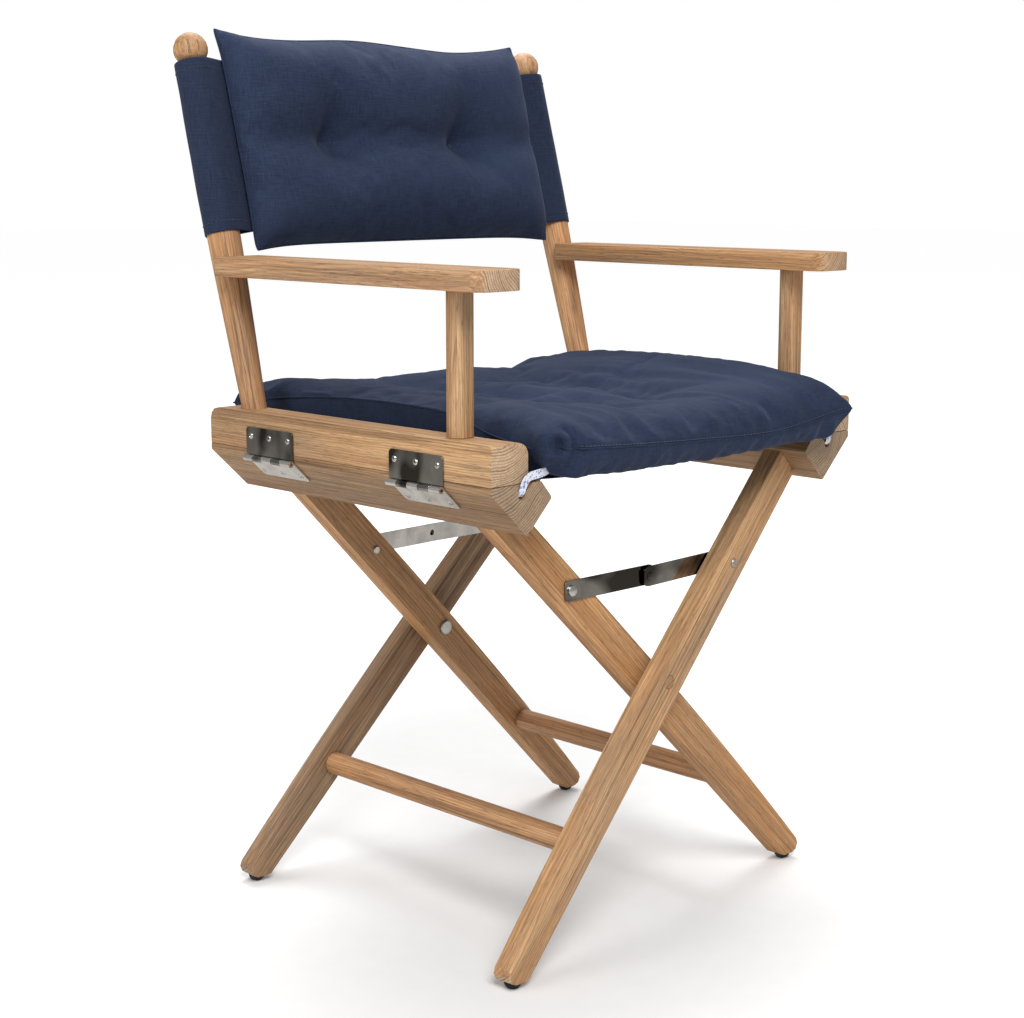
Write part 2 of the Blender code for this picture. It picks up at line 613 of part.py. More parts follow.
def build_seat_sling(frame):
    """A sheet between the lower rails whose hems wrap the rods in the bores."""
    path = []
    wrap = BORE_R - GAP - CLOTH_T / 2 + 0.0001
    slot = Vector((SLOT_X - BORE[0], JOINT_Z - BORE[1])).normalized()
    start = atan2(slot.y, slot.x)
    for k in range(13):
        angle = start + 1.72 * pi - 1.6 * pi * k / 12 - 0.12 * pi
        path.append((BORE[0] + wrap * cos(angle), BORE[1] + wrap * sin(angle)))
    path.append((SLOT_X + 0.0004, JOINT_Z - 0.0004))
    path.append((SLOT_X - 0.0026, SLING_Z - 0.0001))
    path.append((LOWER_TOP_IN - 0.004, SLING_Z))
    whole = path + [(0.07, SLING_Z - 0.001), (-0.07, SLING_Z - 0.001)]
    whole += [(-x, z) for x, z in reversed(path)]
    half = CLOTH_T / 2
    left, right = [], []
    for i, point in enumerate(whole):
        here = Vector(point)
        before = Vector(whole[max(i - 1, 0)])
        after = Vector(whole[min(i + 1, len(whole) - 1)])
        run = (after - before).normalized()
        side = Vector((-run.y, run.x)) * half
        left.append(tuple(here + side))
        right.append(tuple(here - side))
    mesh = outline_mesh("seat_sling", [left + right[::-1]], SLING_REAR - SLING_FRONT)
    add_piece("seat_sling", mesh, NAVY, upright((0, (SLING_REAR + SLING_FRONT) / 2, 0)), frame)


def build_soft(frame, arm):
    build_seat_sling(frame)
    size = [high - low for low, high in SEAT_CUSHION]
    middle = [(high + low) / 2 for low, high in SEAT_CUSHION]
    obj = add_piece("seat_cushion", box_mesh("seat_cushion", size), NAVY,
                    Matrix.Translation(middle), frame)
    bevel(obj, 0.018, 2)

    foot, ball = back_axis(LEFT)
    foot.x = ball.x = 0
    lean = (ball - foot).normalized()
    tilt = Matrix.Rotation(-atan2(lean.y, lean.z), 4, "X")
    low, high = BACK_SLING
    place = Matrix.Translation(foot + lean * (low + high) / 2) @ tilt
    add_piece("back_sling_panel",
              box_mesh("panel", (2 * BACK_PANEL_HALF, CLOTH_T, high - low)), NAVY, place, arm)
    low, high = BACK_CUSHION
    forward = Vector((0, -lean.z, lean.y)) * (CLOTH_T / 2 + GAP + BACK_CUSHION_T / 2)
    place = Matrix.Translation(foot + lean * (low + high) / 2 + forward) @ tilt
    obj = add_piece("back_cushion",
                    box_mesh("back_cushion", (2 * BACK_CUSHION_HALF, BACK_CUSHION_T, high - low)),
                    NAVY, place, arm)
    bevel(obj, 0.016, 2)


def main():
    frames, arms = {}, {}
    for side in (LEFT, RIGHT):
        frames[side] = add_empty(f"frame_{SIDE_NAME[side]}_axis", (0, LEG_MID_Y, PIVOT_Z))
        arms[side] = add_empty(f"arm_{SIDE_NAME[side]}_axis",
                               (side * HINGE_AXIS[0], LEG_MID_Y, HINGE_AXIS[1]))
        build_frame(side, frames[side])
        for y, end in zip(HINGE_Y, ("front", "rear")):
            build_hinge(side, y, end, frames[side], arms[side])
        build_arm_side(side, arms[side])
    for end in (FRONT, REAR):
        build_stays(end, frames)
        build_pivots(end, frames[LEFT])
    build_soft(frames[LEFT], arms[LEFT])
    bpy.context.view_layer.update()


main()
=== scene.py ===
from math import cos, exp, pi, radians, sin

import bmesh
import bpy
import numpy as np
from mathutils import Matrix, Vector, noise
from mathutils.bvhtree import BVHTree


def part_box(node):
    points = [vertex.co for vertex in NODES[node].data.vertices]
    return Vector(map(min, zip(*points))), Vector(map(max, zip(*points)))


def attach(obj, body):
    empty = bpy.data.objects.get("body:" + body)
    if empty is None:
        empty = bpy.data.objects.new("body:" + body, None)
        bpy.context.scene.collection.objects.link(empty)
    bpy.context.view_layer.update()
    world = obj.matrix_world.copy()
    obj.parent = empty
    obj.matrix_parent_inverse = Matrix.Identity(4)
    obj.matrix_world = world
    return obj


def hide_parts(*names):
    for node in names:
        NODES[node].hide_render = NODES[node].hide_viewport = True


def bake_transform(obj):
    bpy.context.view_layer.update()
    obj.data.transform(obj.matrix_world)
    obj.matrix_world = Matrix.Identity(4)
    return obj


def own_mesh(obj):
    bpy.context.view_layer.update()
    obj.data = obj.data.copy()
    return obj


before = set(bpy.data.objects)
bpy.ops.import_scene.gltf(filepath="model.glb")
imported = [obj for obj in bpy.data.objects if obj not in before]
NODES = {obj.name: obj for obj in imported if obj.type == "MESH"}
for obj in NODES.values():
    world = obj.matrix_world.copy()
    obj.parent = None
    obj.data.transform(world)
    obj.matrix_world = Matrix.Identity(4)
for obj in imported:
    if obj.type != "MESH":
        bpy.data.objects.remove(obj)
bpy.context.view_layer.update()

SIDES = {"left": 1, "right": -1}
ENDS = ("front", "rear")

# Camera and light
CAMERA_AT = (-1.3941, -1.3670, 0.7472)
CAMERA_TO = (0.0646, 0.0854, 0.3782)
SENSOR, LENS = 36.0, 66.4              # millimetres
FILL = 0.27                            # light from all round, besides the lamps
LAMPS = (("key", (-1.6, -2.4, 3.0), 1.8, 118),         # place, width and watts
         ("side", (-3.2, 0.6, 1.6), 1.6, 34),
         ("top", (0.8, 0.9, 3.2), 2.2, 88))
LAMPS_AIM = (0, 0, 0.45)
FLOOR_HALF = 20
FLOOR_TONES = (0.86, 0.86, 0.86), (0.90, 0.90, 0.90)
FLOOR_MIRRORED = (0.48, 0.46, 0.43)    # what the steel sees of the floor
FLOOR_GLOW = 0.5, 3.5, 0.04, 0.75      # distance span, and the glow at its two ends

# Back: the posts' axes run from the foot to the ball
BACK_FOOT = Vector((0.2418, 0.145, 0.5127))
BACK_BALL = Vector((0.2390, 0.2395, 0.8665))
POST_RUN = (BACK_BALL - BACK_FOOT).length
BACK_SLING = (0.1773, 0.3540)          # hems of the back sling, up the posts
SLEEVE_R = 0.0182
SLEEVE_LAP = 1.75                      # angle round the post where the cloth leaves it for the tail
SLEEVE_TAIL = 0.2045                   # x where the sleeves' two layers meet, behind the cushion
TAIL_FORWARD = 0.0105                  # of the posts' axes
PANEL_SAG, PANEL_RIPPLE = 0.0030, 0.0006
BACK_CUSHION_X, BACK_CUSHION_HALF = -0.0035, (0.2115, 0.1108)
BACK_CUSHION_UP = 0.2704
BACK_TUFT_X, BACK_TUFT_UP = (-0.0920, 0.0975), -0.0010      # from the middle of the cushion
BACK_TUFT_REACH, BACK_TUFT_DEEP = 0.027, 0.0235
BACK_SEAM_AT, BACK_FRONT_AT, BACK_REAR_AT = 0.0085, 0.0410, 0.0016     # forward of the posts' axes
BACK_VALLEY, BACK_VALLEY_HALF = 0.0125, 0.019               # the hollow that joins the two tufts

# Seat
SEAT_MIDDLE_Y, SEAT_HALF = -0.0215, (0.2105, 0.2335)
SEAT_BOTTOM, SEAT_TOP, SEAT_SEAM, SEAT_DIP = 0.4797, 0.5365, 0.5115, 0.0140
SEAT_TUFT_X, SEAT_TUFT_STEP = 0.060, 0.080
SEAT_TUFT_REACH, SEAT_TUFT_DEEP = 0.034, 0.012
SEAT_TUFTS = [(side * SEAT_TUFT_X, step * SEAT_TUFT_STEP) for side in (-1, 1) for step in (-1, 0, 1)]
CORNER_FOLD = 0.0090                   # reach of the crease where the front right corner is tucked in
CREASE_IN = 0.0210                     # from that corner's side to the crease beside its lobe
SLING_HALF, SLING_Z, SLING_SAG = 0.2150, 0.4778, 0.0120
SLOT_AT = 0.2075                       # x past which the sling turns down into the rails' slots

# Cloth and thread
CLOTH_T, SLEEVE_T, TAPE_T = 0.0012, 0.0010, 0.0009
SEAM_R = 0.0009
STITCH, STITCH_PITCH, STITCH_R = 0.0028, 0.0045, 0.00034
HEM_LIFT, SLEEVE_HEM_LIFT = 0.0008, 0.0007      # from the middle of the cloth to its hem stitches


# ---------------------------------------------------------------- materials

class Shading:
    """A material's node tree, with a short call for each kind of node that the looks need."""

    def __init__(self, name, **constants):
        self.material = bpy.data.materials.new(name)
        self.material.use_nodes = True
        self.tree = self.material.node_tree
        self.shader = self.tree.nodes["Principled BSDF"]
        for key, value in constants.items():
            self.shader.inputs[key.replace("_", " ")].default_value = value
        self.place = self.node("TexCoord").outputs["Object"]
        self.normal = self.node("TexCoord").outputs["Normal"]

    def node(self, kind, inputs=None, **settings):
        made = self.tree.nodes.new("ShaderNode" + kind)
        for key, value in settings.items():
            setattr(made, key, value)
        for key, value in (inputs or {}).items():
            if isinstance(value, bpy.types.NodeSocket):
                self.tree.links.new(value, made.inputs[key])
            else:
                made.inputs[key].default_value = value
        return made

    def math(self, operation, a, b=0.0, clamp=False):
        return self.node("Math", {0: a, 1: b}, operation=operation, use_clamp=clamp).outputs[0]

    def vector(self, operation, a, b=(0, 0, 0)):
        made = self.node("VectorMath", {0: a, 1: b}, operation=operation)
        return made.outputs["Value" if operation in ("DOT_PRODUCT", "LENGTH") else "Vector"]

    def split(self, vector):
        return self.node("SeparateXYZ", {0: vector}).outputs

    def join(self, x, y, z):
        return self.node("CombineXYZ", {0: x, 1: y, 2: z}).outputs[0]

    def noise(self, vector, stretch, detail=2.0, rough=0.5):
        scaled = self.vector("MULTIPLY", vector, stretch)
        return self.node("TexNoise", {"Vector": scaled, "Scale": 1.0, "Detail": detail,
                                      "Roughness": rough}).outputs[0]

    def span(self, value, low, high, to_low=0.0, to_high=1.0):
        return self.node("MapRange", {0: value, 1: low, 2: high, 3: to_low, 4: to_high}).outputs[0]

    def mix(self, factor, a, b, blend="MIX"):
        made = self.node("Mix", {0: factor}, data_type="RGBA", blend_type=blend)
        for socket, value in ((made.inputs[6], a), (made.inputs[7], b)):
            if isinstance(value, bpy.types.NodeSocket):
                self.tree.links.new(value, socket)
            else:
                socket.default_value = (*value, 1.0)
        return made.outputs[2]

    def shaded(self, tone, level):
        return self.mix(1.0, tone, self.join(level, level, level), "MULTIPLY")

    def finish(self, colour, roughness=None, height=None, depth=0.0003, strength=0.5):
        self.tree.links.new(colour, self.shader.inputs["Base Color"])
        if roughness is not None:
            self.tree.links.new(roughness, self.shader.inputs["Roughness"])
        if height is not None:
            bump = self.node("Bump", {"Height": height, "Distance": depth, "Strength": strength})
            self.tree.links.new(bump.outputs[0], self.shader.inputs["Normal"])
        return self.material


TEAK_LIGHT = (0.610, 0.375, 0.185)
TEAK_MID = (0.370, 0.192, 0.080)
TEAK_RED = (0.300, 0.135, 0.058)
TEAK_DARK = (0.085, 0.046, 0.024)
TEAK_GREY = (0.335, 0.245, 0.160)
TEAK_PALE = (0.640, 0.500, 0.350)
# Features of the figure per metre, along the grain and twice across it
WANDER, BLOTCHES, WARMTH = (4.0, 17, 17), (5, 24, 24), (2.2, 40, 40)
STREAKS, VEINS, FINE_LINES = (3.0, 170, 170), (1.5, 110, 110), (2.0, 330, 330)
FIBRES, PORES = (26, 1000, 1000), (75, 1250, 1250)
RING, RING_BEND = 0.0026, 0.024         # spacing of the year rings, and how far they leave their circles
# A colour factor for each board, against the general one; the first name that fits counts
WOOD_TONES = (("upper_rail", (0.94, 0.94, 0.94)), ("lower_rail", (0.66, 0.66, 0.68)),
              ("stretcher", (1.00, 0.90, 0.85)), ("armrest_left", (0.98, 0.90, 0.84)),
              ("armrest", (0.92, 0.90, 0.94)), ("leg_left_front", (1.12, 1.10, 1.12)),
              ("leg_left_rear", (0.72, 0.75, 0.84)), ("leg_right", (1.04, 0.92, 0.80)),
              ("front_post_left", (1.14, 1.15, 1.22)), ("front_post", (0.98, 1.02, 1.10)),
              ("back_post_left", (1.24, 1.13, 1.09)), ("back_post", (1.04, 0.98, 0.94)))


def grain_axes(node):
    """Middle of a wooden node, and the turn that brings its longest direction onto X."""
    points = np.array([v.co for v in NODES[node].data.vertices])
    middle = (points.min(0) + points.max(0)) / 2
    spread = np.linalg.eigh(np.cov((points - middle).T))[1][:, ::-1].T
    if np.linalg.det(spread) < 0:
        spread[2] *= -1
    return Vector(middle), Matrix(spread.tolist())


def teak(node, number):
    """Oiled teak cut from its own part of the log: grain along the node, rings at its ends."""
    look = Shading(f"teak_{node}", Specular_IOR_Level=0.30)
    middle, turn = grain_axes(node)
    pith = (0.7 * number, 0.030 + 0.013 * (number * 2 % 5), 0.022 + 0.012 * (number % 4))
    centred = look.vector("SUBTRACT", look.place, middle)
    log = look.node("Mapping", {"Vector": centred, "Rotation": turn.to_euler(),
                                "Location": pith}).outputs[0]
    wander = look.node("TexNoise", {"Vector": look.vector("MULTIPLY", log, WANDER),
                                    "Scale": 1.0, "Detail": 2.0}).outputs["Color"]
    bend = look.vector("MULTIPLY", look.vector("SUBTRACT", wander, (0.5, 0.5, 0.5)),
                       (0.0, RING_BEND, RING_BEND))
    bent = look.split(look.vector("ADD", log, bend))
    radius = look.vector("LENGTH", look.join(0.0, bent[1], bent[2]))
    year = look.math("DIVIDE", radius, RING)
    saw = look.math("FRACT", year)
    late = look.math("MULTIPLY", look.span(saw, 0.30, 0.88), look.span(saw, 1.0, 0.93))
    strength = look.noise(look.join(look.math("FLOOR", year), 0.0, 0.0), (0.73, 1, 1), 0.0)
    late = look.math("MULTIPLY", late, look.span(strength, 0.30, 0.68, 0.25, 1.0))
    streak = look.noise(log, STREAKS, 4.0, 0.62)
    fibre = look.noise(log, FIBRES, 3.0)
    pore = look.span(look.noise(log, PORES, 1.0), 0.61, 0.70)
    blotch = look.noise(log, BLOTCHES, 3.0)
    warm = look.noise(log, WARMTH, 2.0)
    vein = look.span(look.noise(log, VEINS, 4.0, 0.7), 0.56, 0.68)
    fine = look.span(look.noise(log, FINE_LINES, 3.0, 0.6), 0.50, 0.68)
    facing = look.math("ABSOLUTE", look.vector("DOT_PRODUCT", look.normal, tuple(turn[0])))
    cut = look.span(facing, 0.70, 0.95)         # 1 where the surface is cut across the grain

    def drawn(tone, mark, along, across):
        """The mark drawn in dark on the tone, at one strength along the grain and one on its ends."""
        return look.mix(look.math("MULTIPLY", mark, look.span(cut, 0.0, 1.0, along, across)),
                        tone, TEAK_DARK)

    tone = look.mix(look.span(streak, 0.36, 0.66, 0.0, 0.80), TEAK_LIGHT, TEAK_MID)
    tone = look.mix(look.span(warm, 0.45, 0.66, 0.0, 0.50), tone, TEAK_RED)
    tone = look.mix(look.span(blotch, 0.44, 0.66, 0.0, 0.45), tone, TEAK_GREY)
    tone = look.mix(look.math("MULTIPLY", cut, 0.52), tone, TEAK_PALE)
    tone = drawn(tone, late, 0.42, 0.95)
    tone = drawn(tone, vein, 0.62, 0.10)
    tone = drawn(tone, pore, 0.50, 0.50)
    tone = drawn(tone, fine, 0.42, 0.10)
    board = next((board for name, board in WOOD_TONES if node.startswith(name)), (1.0, 1.0, 1.0))
    shade = look.join(*(look.span(fibre, 0.3, 0.7, 0.82 * level, 1.24 * level) for level in board))
    tone = look.mix(1.0, tone, shade, "MULTIPLY")

    rough = look.span(fibre, 0.3, 0.7, 0.60, 0.42)
    raised = look.math("ADD", look.math("MULTIPLY", fibre, 0.6), look.math("MULTIPLY", streak, 0.8))
    sunk = look.math("ADD", look.math("MULTIPLY", pore, 0.8), look.math("MULTIPLY", late, 0.4))
    height = look.math("SUBTRACT", raised, sunk)
    return look.finish(tone, rough, height, 0.00024, 0.6)


def flat_plane(look):
    """Two coordinates along the cloth, on whichever of the three planes it faces."""
    x, y, z = look.split(look.place)
    ax, ay, az = look.split(look.vector("ABSOLUTE", look.normal))
    side_on = look.math("GREATER_THAN", ax, look.math("MAXIMUM", ay, az))
    level = look.math("GREATER_THAN", az, look.math("MAXIMUM", ax, ay))

    def pick(which, a, b):
        return look.math("ADD", look.math("MULTIPLY", which, b),
                         look.math("MULTIPLY", look.math("SUBTRACT", 1.0, which), a))
    return pick(side_on, x, y), pick(level, z, y)


SLUBS_UP, SLUBS_ACROSS = (800, 60, 1), (60, 800, 1)      # thick places in the threads, per metre


def canvas(name, dark, light, pitch=0.0011, depth=0.00016):
    """Closely woven cotton canvas with slubbed threads, faded a little where it is rubbed."""
    look = Shading(name, Sheen_Weight=0.12, Sheen_Roughness=0.4, Sheen_Tint=(0.55, 0.62, 0.9, 1),
                   Specular_IOR_Level=0.18)
    a, b = flat_plane(look)
    warp = look.math("SINE", look.math("MULTIPLY", a, pi / pitch))
    weft = look.math("SINE", look.math("MULTIPLY", b, pi / pitch))
    over = look.math("GREATER_THAN", look.math("MULTIPLY", warp, weft), 0.0)
    up = look.math("ABSOLUTE", warp)
    across = look.math("ABSOLUTE", weft)
    weave = look.math("ADD", look.math("MULTIPLY", over, up),
                      look.math("MULTIPLY", look.math("SUBTRACT", 1.0, over), across))
    spot = look.join(a, b, 0.0)
    slubs = [look.noise(spot, stretch, 3.0, 0.65) for stretch in (SLUBS_UP, SLUBS_ACROSS)]
    slub = look.math("MULTIPLY", look.math("ADD", *slubs), 0.5)
    fade = look.noise(look.place, (9, 9, 9), 3.0)
    tone = look.mix(look.span(slub, 0.36, 0.64), dark, light)
    tone = look.mix(look.span(fade, 0.42, 0.66, 0.0, 0.35), tone, light)
    # Painted shade and highlight: darker in the gaps between the threads, lighter on their crowns
    tone = look.shaded(tone, look.span(weave, 0.0, 1.0, 0.72, 1.12))
    height = look.math("ADD", look.math("MULTIPLY", weave, 0.6), slub)
    return look.finish(tone, look.span(weave, 0.0, 1.0, 0.97, 0.84), height, depth, 0.6)


# Features per metre of the streaks of painted dark reflection on polished steel
PAINTED_REFLECTION_STREAKS = (16, 42, 26)


def steel(name, colour, smooth, rubbed, brushed, painted_reflection=None):
    """Stainless steel, with fine rolling lines and patches that handling has rubbed duller, and, if given
    a colour for them, streaks of painted dark reflection.
    """
    look = Shading(name, Metallic=1.0)
    lines = look.noise(look.place, brushed, 3.0)
    patch = look.noise(look.place, (60, 60, 60), 3.0)
    rough = look.math("ADD", look.span(patch, 0.35, 0.7, smooth, smooth + rubbed),
                      look.span(lines, 0.3, 0.7, 0.0, rubbed / 2))
    tone = look.mix(look.span(patch, 0.4, 0.65), colour, tuple(c * 0.82 for c in colour))
    # Painted reflection: soft near-black streaks mixed into the colour, standing in for dark surroundings
    # mirrored in the steel
    if painted_reflection:
        reflection_streaks = look.noise(look.place, PAINTED_REFLECTION_STREAKS, 1.0)
        tone = look.mix(look.span(reflection_streaks, 0.44, 0.60), tone, painted_reflection)
    return look.finish(tone, rough, lines, 0.00004, 0.35)


def rubber():
    """Black rubber, scuffed greyer in places."""
    look = Shading("black_rubber", Specular_IOR_Level=0.4)
    speck = look.noise(look.place, (900, 900, 900), 3.0)
    scuff = look.noise(look.place, (120, 120, 60), 3.0)
    tone = look.mix(look.span(scuff, 0.5, 0.75), (0.014, 0.014, 0.015), (0.06, 0.058, 0.055))
    return look.finish(tone, look.span(scuff, 0.3, 0.7, 0.5, 0.75), speck, 0.0001, 0.5)


TAPE_RIB = pi / 2600                    # one weft thread of the tape, about 1.2 mm


def tape():
    """White woven tape with flecks of blue thread."""
    look = Shading("woven_tape", Sheen_Weight=0.2, Specular_IOR_Level=0.25)
    x, _, z = look.split(look.place)
    along = look.math("MULTIPLY", look.math("ADD", x, z), pi / TAPE_RIB)
    ribs = look.math("ABSOLUTE", look.math("SINE", along))
    blue = look.noise(look.place, (420, 420, 420), 2.0)
    tone = look.mix(look.span(blue, 0.56, 0.64), (0.74, 0.76, 0.83), (0.13, 0.22, 0.50))
    # Painted shade and highlight: darker in the grooves between the ribs, a little lighter on their
    # crowns
    tone = look.shaded(tone, look.span(ribs, 0.0, 1.0, 0.78, 1.05))
    return look.finish(tone, look.span(ribs, 0.0, 1.0, 0.95, 0.8), ribs, 0.0002, 0.6)


def yarn(name, colour):
    """Twisted sewing thread."""
    look = Shading(name, Sheen_Weight=0.3, Specular_IOR_Level=0.25)
    twist = look.noise(look.place, (1500, 1500, 1500), 1.0)
    tone = look.mix(twist, tuple(0.6 * c for c in colour), tuple(1.3 * c for c in colour))
    return look.finish(tone, look.span(twist, 0.3, 0.7, 0.9, 0.75), twist, 0.0001, 0.5)


CUSHION_CLOTH = canvas("navy_cushion_canvas", (0.0100, 0.0160, 0.0370), (0.0230, 0.0355, 0.0740))
SLING_CLOTH = canvas("navy_sling_canvas", (0.0100, 0.0158, 0.0350), (0.0230, 0.0345, 0.0700),
                     pitch=0.0014, depth=0.00024)
THREAD = yarn("navy_thread", (0.030, 0.043, 0.080))
HEM_THREAD = yarn("navy_hem_thread", (0.017, 0.026, 0.051))
# Painted light: the same navy canvas as the seat cushion's, made lighter to stand in for the stronger
# light on the back cushion
BACK_CLOTH_PAINTED_LIGHTER = canvas("navy_back_cushion_canvas_painted_lighter", (0.0120, 0.0190, 0.0430), (0.0280, 0.0425, 0.0870))
# Painted reflection: its base colour is darker than real steel's and streaked with near-black, standing
# in for the dark surroundings it mirrors
POLISHED = steel("polished_steel", (0.34, 0.33, 0.31), 0.03, 0.05, (90, 700, 90),
                 painted_reflection=(0.060, 0.054, 0.048))
SATIN = steel("satin_steel", (0.76, 0.75, 0.73), 0.20, 0.16, (1400, 90, 1400))
BRIGHT = steel("screw_steel", (0.70, 0.69, 0.67), 0.10, 0.10, (900, 900, 900))
RUBBER = rubber()
TAPE = tape()


# ---------------------------------------------------------------- carried-over CAD nodes

WELD, SHARP = 0.00002, radians(32)     # merge distance, and the angle from which an edge is rounded


def dress(node, material, rounding):
    """Gives a CAD node its finish, rounded edges and smooth shading."""
    obj = NODES[node]
    obj.data.materials.clear()
    obj.data.materials.append(material)
    if "custom_normal" in obj.data.attributes:
        obj.data.attributes.remove(obj.data.attributes["custom_normal"])
    obj.data.polygons.foreach_set("use_smooth", [True] * len(obj.data.polygons))
    weld = obj.modifiers.new("Weld", "WELD")
    weld.merge_threshold = WELD
    bevel = obj.modifiers.new("Bevel", "BEVEL")
    bevel.width, bevel.segments = rounding, 2
    bevel.limit_method, bevel.angle_limit = "ANGLE", SHARP
    bevel.harden_normals = True


WOOD_ROUNDING, BOARD_ROUNDING, METAL_ROUNDING = 0.0005, 0.0025, 0.00015
SATIN_ROUNDING, RUBBER_ROUNDING = 0.00012, 0.0002
BOARDS = ("upper_rail", "lower_rail", "armrest")
WOOD_NAMES = ("leg_", "stretcher_", "lower_rail", "upper_rail", "front_post", "back_post",
              "armrest", "pivot_plug")
SATIN_NAMES = ("hinge_lower_leaf", "pivot_spacer", "sling_rod", "stay_link_left_rear",
               "stay_link_right_rear", "stay_bolt", "pivot_bolt")
METAL_NAMES = ("hinge_", "stay_", "pivot_bolt")


def dress_nodes():
    """Finishes every hard node; the soft ones are replaced below."""
    for number, node in enumerate(sorted(NODES)):
        if node.startswith(WOOD_NAMES):
            dress(node, teak(node, number), BOARD_ROUNDING if node.startswith(BOARDS) else WOOD_ROUNDING)
        elif node.startswith(SATIN_NAMES):
            dress(node, SATIN, SATIN_ROUNDING)
        elif node.startswith(METAL_NAMES):
            dress(node, POLISHED, METAL_ROUNDING)
        elif node.startswith("foot_pad"):
            dress(node, RUBBER, RUBBER_ROUNDING)


# ---------------------------------------------------------------- mesh helpers

def add(name, mesh, material):
    """A new smooth-shaded object of one material."""
    obj = bpy.data.objects.new(name, mesh)
    bpy.context.scene.collection.objects.link(obj)
    mesh.materials.clear()
    mesh.materials.append(material)
    mesh.polygons.foreach_set("use_smooth", [True] * len(mesh.polygons))
    return obj


def applied(obj):
    """Puts the object's modifiers into its mesh."""
    bpy.context.view_layer.update()
    graph = bpy.context.evaluated_depsgraph_get()
    mesh = bpy.data.meshes.new_from_object(obj.evaluated_get(graph))
    obj.modifiers.clear()
    obj.data = mesh
    return obj


def lattice(name, rows, material):
    """Open quad surface through rows of points."""
    wide = len(rows[0])
    faces = [(j * wide + i, j * wide + i + 1, (j + 1) * wide + i + 1, (j + 1) * wide + i)
             for j in range(len(rows) - 1) for i in range(wide - 1)]
    mesh = bpy.data.meshes.new(name)
    mesh.from_pydata([tuple(p) for row in rows for p in row], [], faces)
    return add(name, mesh, material)


def cloth_layer(obj, thickness=CLOTH_T, levels=1):
    """Turns an open surface into cloth with a thickness, and applies it."""
    solid = obj.modifiers.new("Solidify", "SOLIDIFY")
    solid.thickness, solid.offset = thickness, 0.0
    if levels:
        fine = obj.modifiers.new("Subdivision", "SUBSURF")
        fine.levels = fine.render_levels = levels
    return applied(obj)


def threads(name, paths, radius, material, cyclic=False):
    """One mesh of round threads along the paths."""
    curve = bpy.data.curves.new(name, "CURVE")
    curve.dimensions, curve.bevel_depth, curve.bevel_resolution = "3D", radius, 2
    curve.use_fill_caps = not cyclic
    for path in paths:
        spline = curve.splines.new("POLY")
        spline.points.add(len(path) - 1)
        for point, at in zip(spline.points, path):
            point.co = (*at, 1.0)
        spline.use_cyclic_u = cyclic
    holder = bpy.data.objects.new(name, curve)
    bpy.context.scene.collection.objects.link(holder)
    bpy.context.view_layer.update()
    mesh = bpy.data.meshes.new_from_object(
        holder.evaluated_get(bpy.context.evaluated_depsgraph_get()))
    bpy.data.objects.remove(holder)
    return add(name, mesh, material)


def dashes(path, stitch=STITCH, pitch=STITCH_PITCH):
    """Short straight runs along a path, for a row of stitches."""
    path = np.array(path)
    run = np.concatenate([[0], np.cumsum(np.linalg.norm(np.diff(path, axis=0), axis=1))])
    starts = np.arange(pitch / 2, run[-1] - stitch, pitch)

    def at(distance):
        return Vector([np.interp(distance, run, path[:, k]) for k in range(3)])
    return [[at(s), at(s + stitch / 2), at(s + stitch)] for s in starts]


# ---------------------------------------------------------------- cushions

def section(half, radii, step):
    """Places across a cushion, evenly spaced over its surface, and its height there: 1 to 0."""
    sides = []
    for radius in radii:
        flat, arc = half - radius, radius * pi / 2
        count = round((flat + arc) / step)
        runs = [(flat + arc) * k / count for k in range(count + 1)]
        sides.append([(run, 1.0) if run <= flat else
                      (flat + radius * sin((run - flat) / radius),
                       max(0.0, cos((run - flat) / radius))) for run in runs])
        sides[-1][-1] = (half, 0.0)
    return [(-at, high) for at, high in reversed(sides[0][1:])] + sides[1]


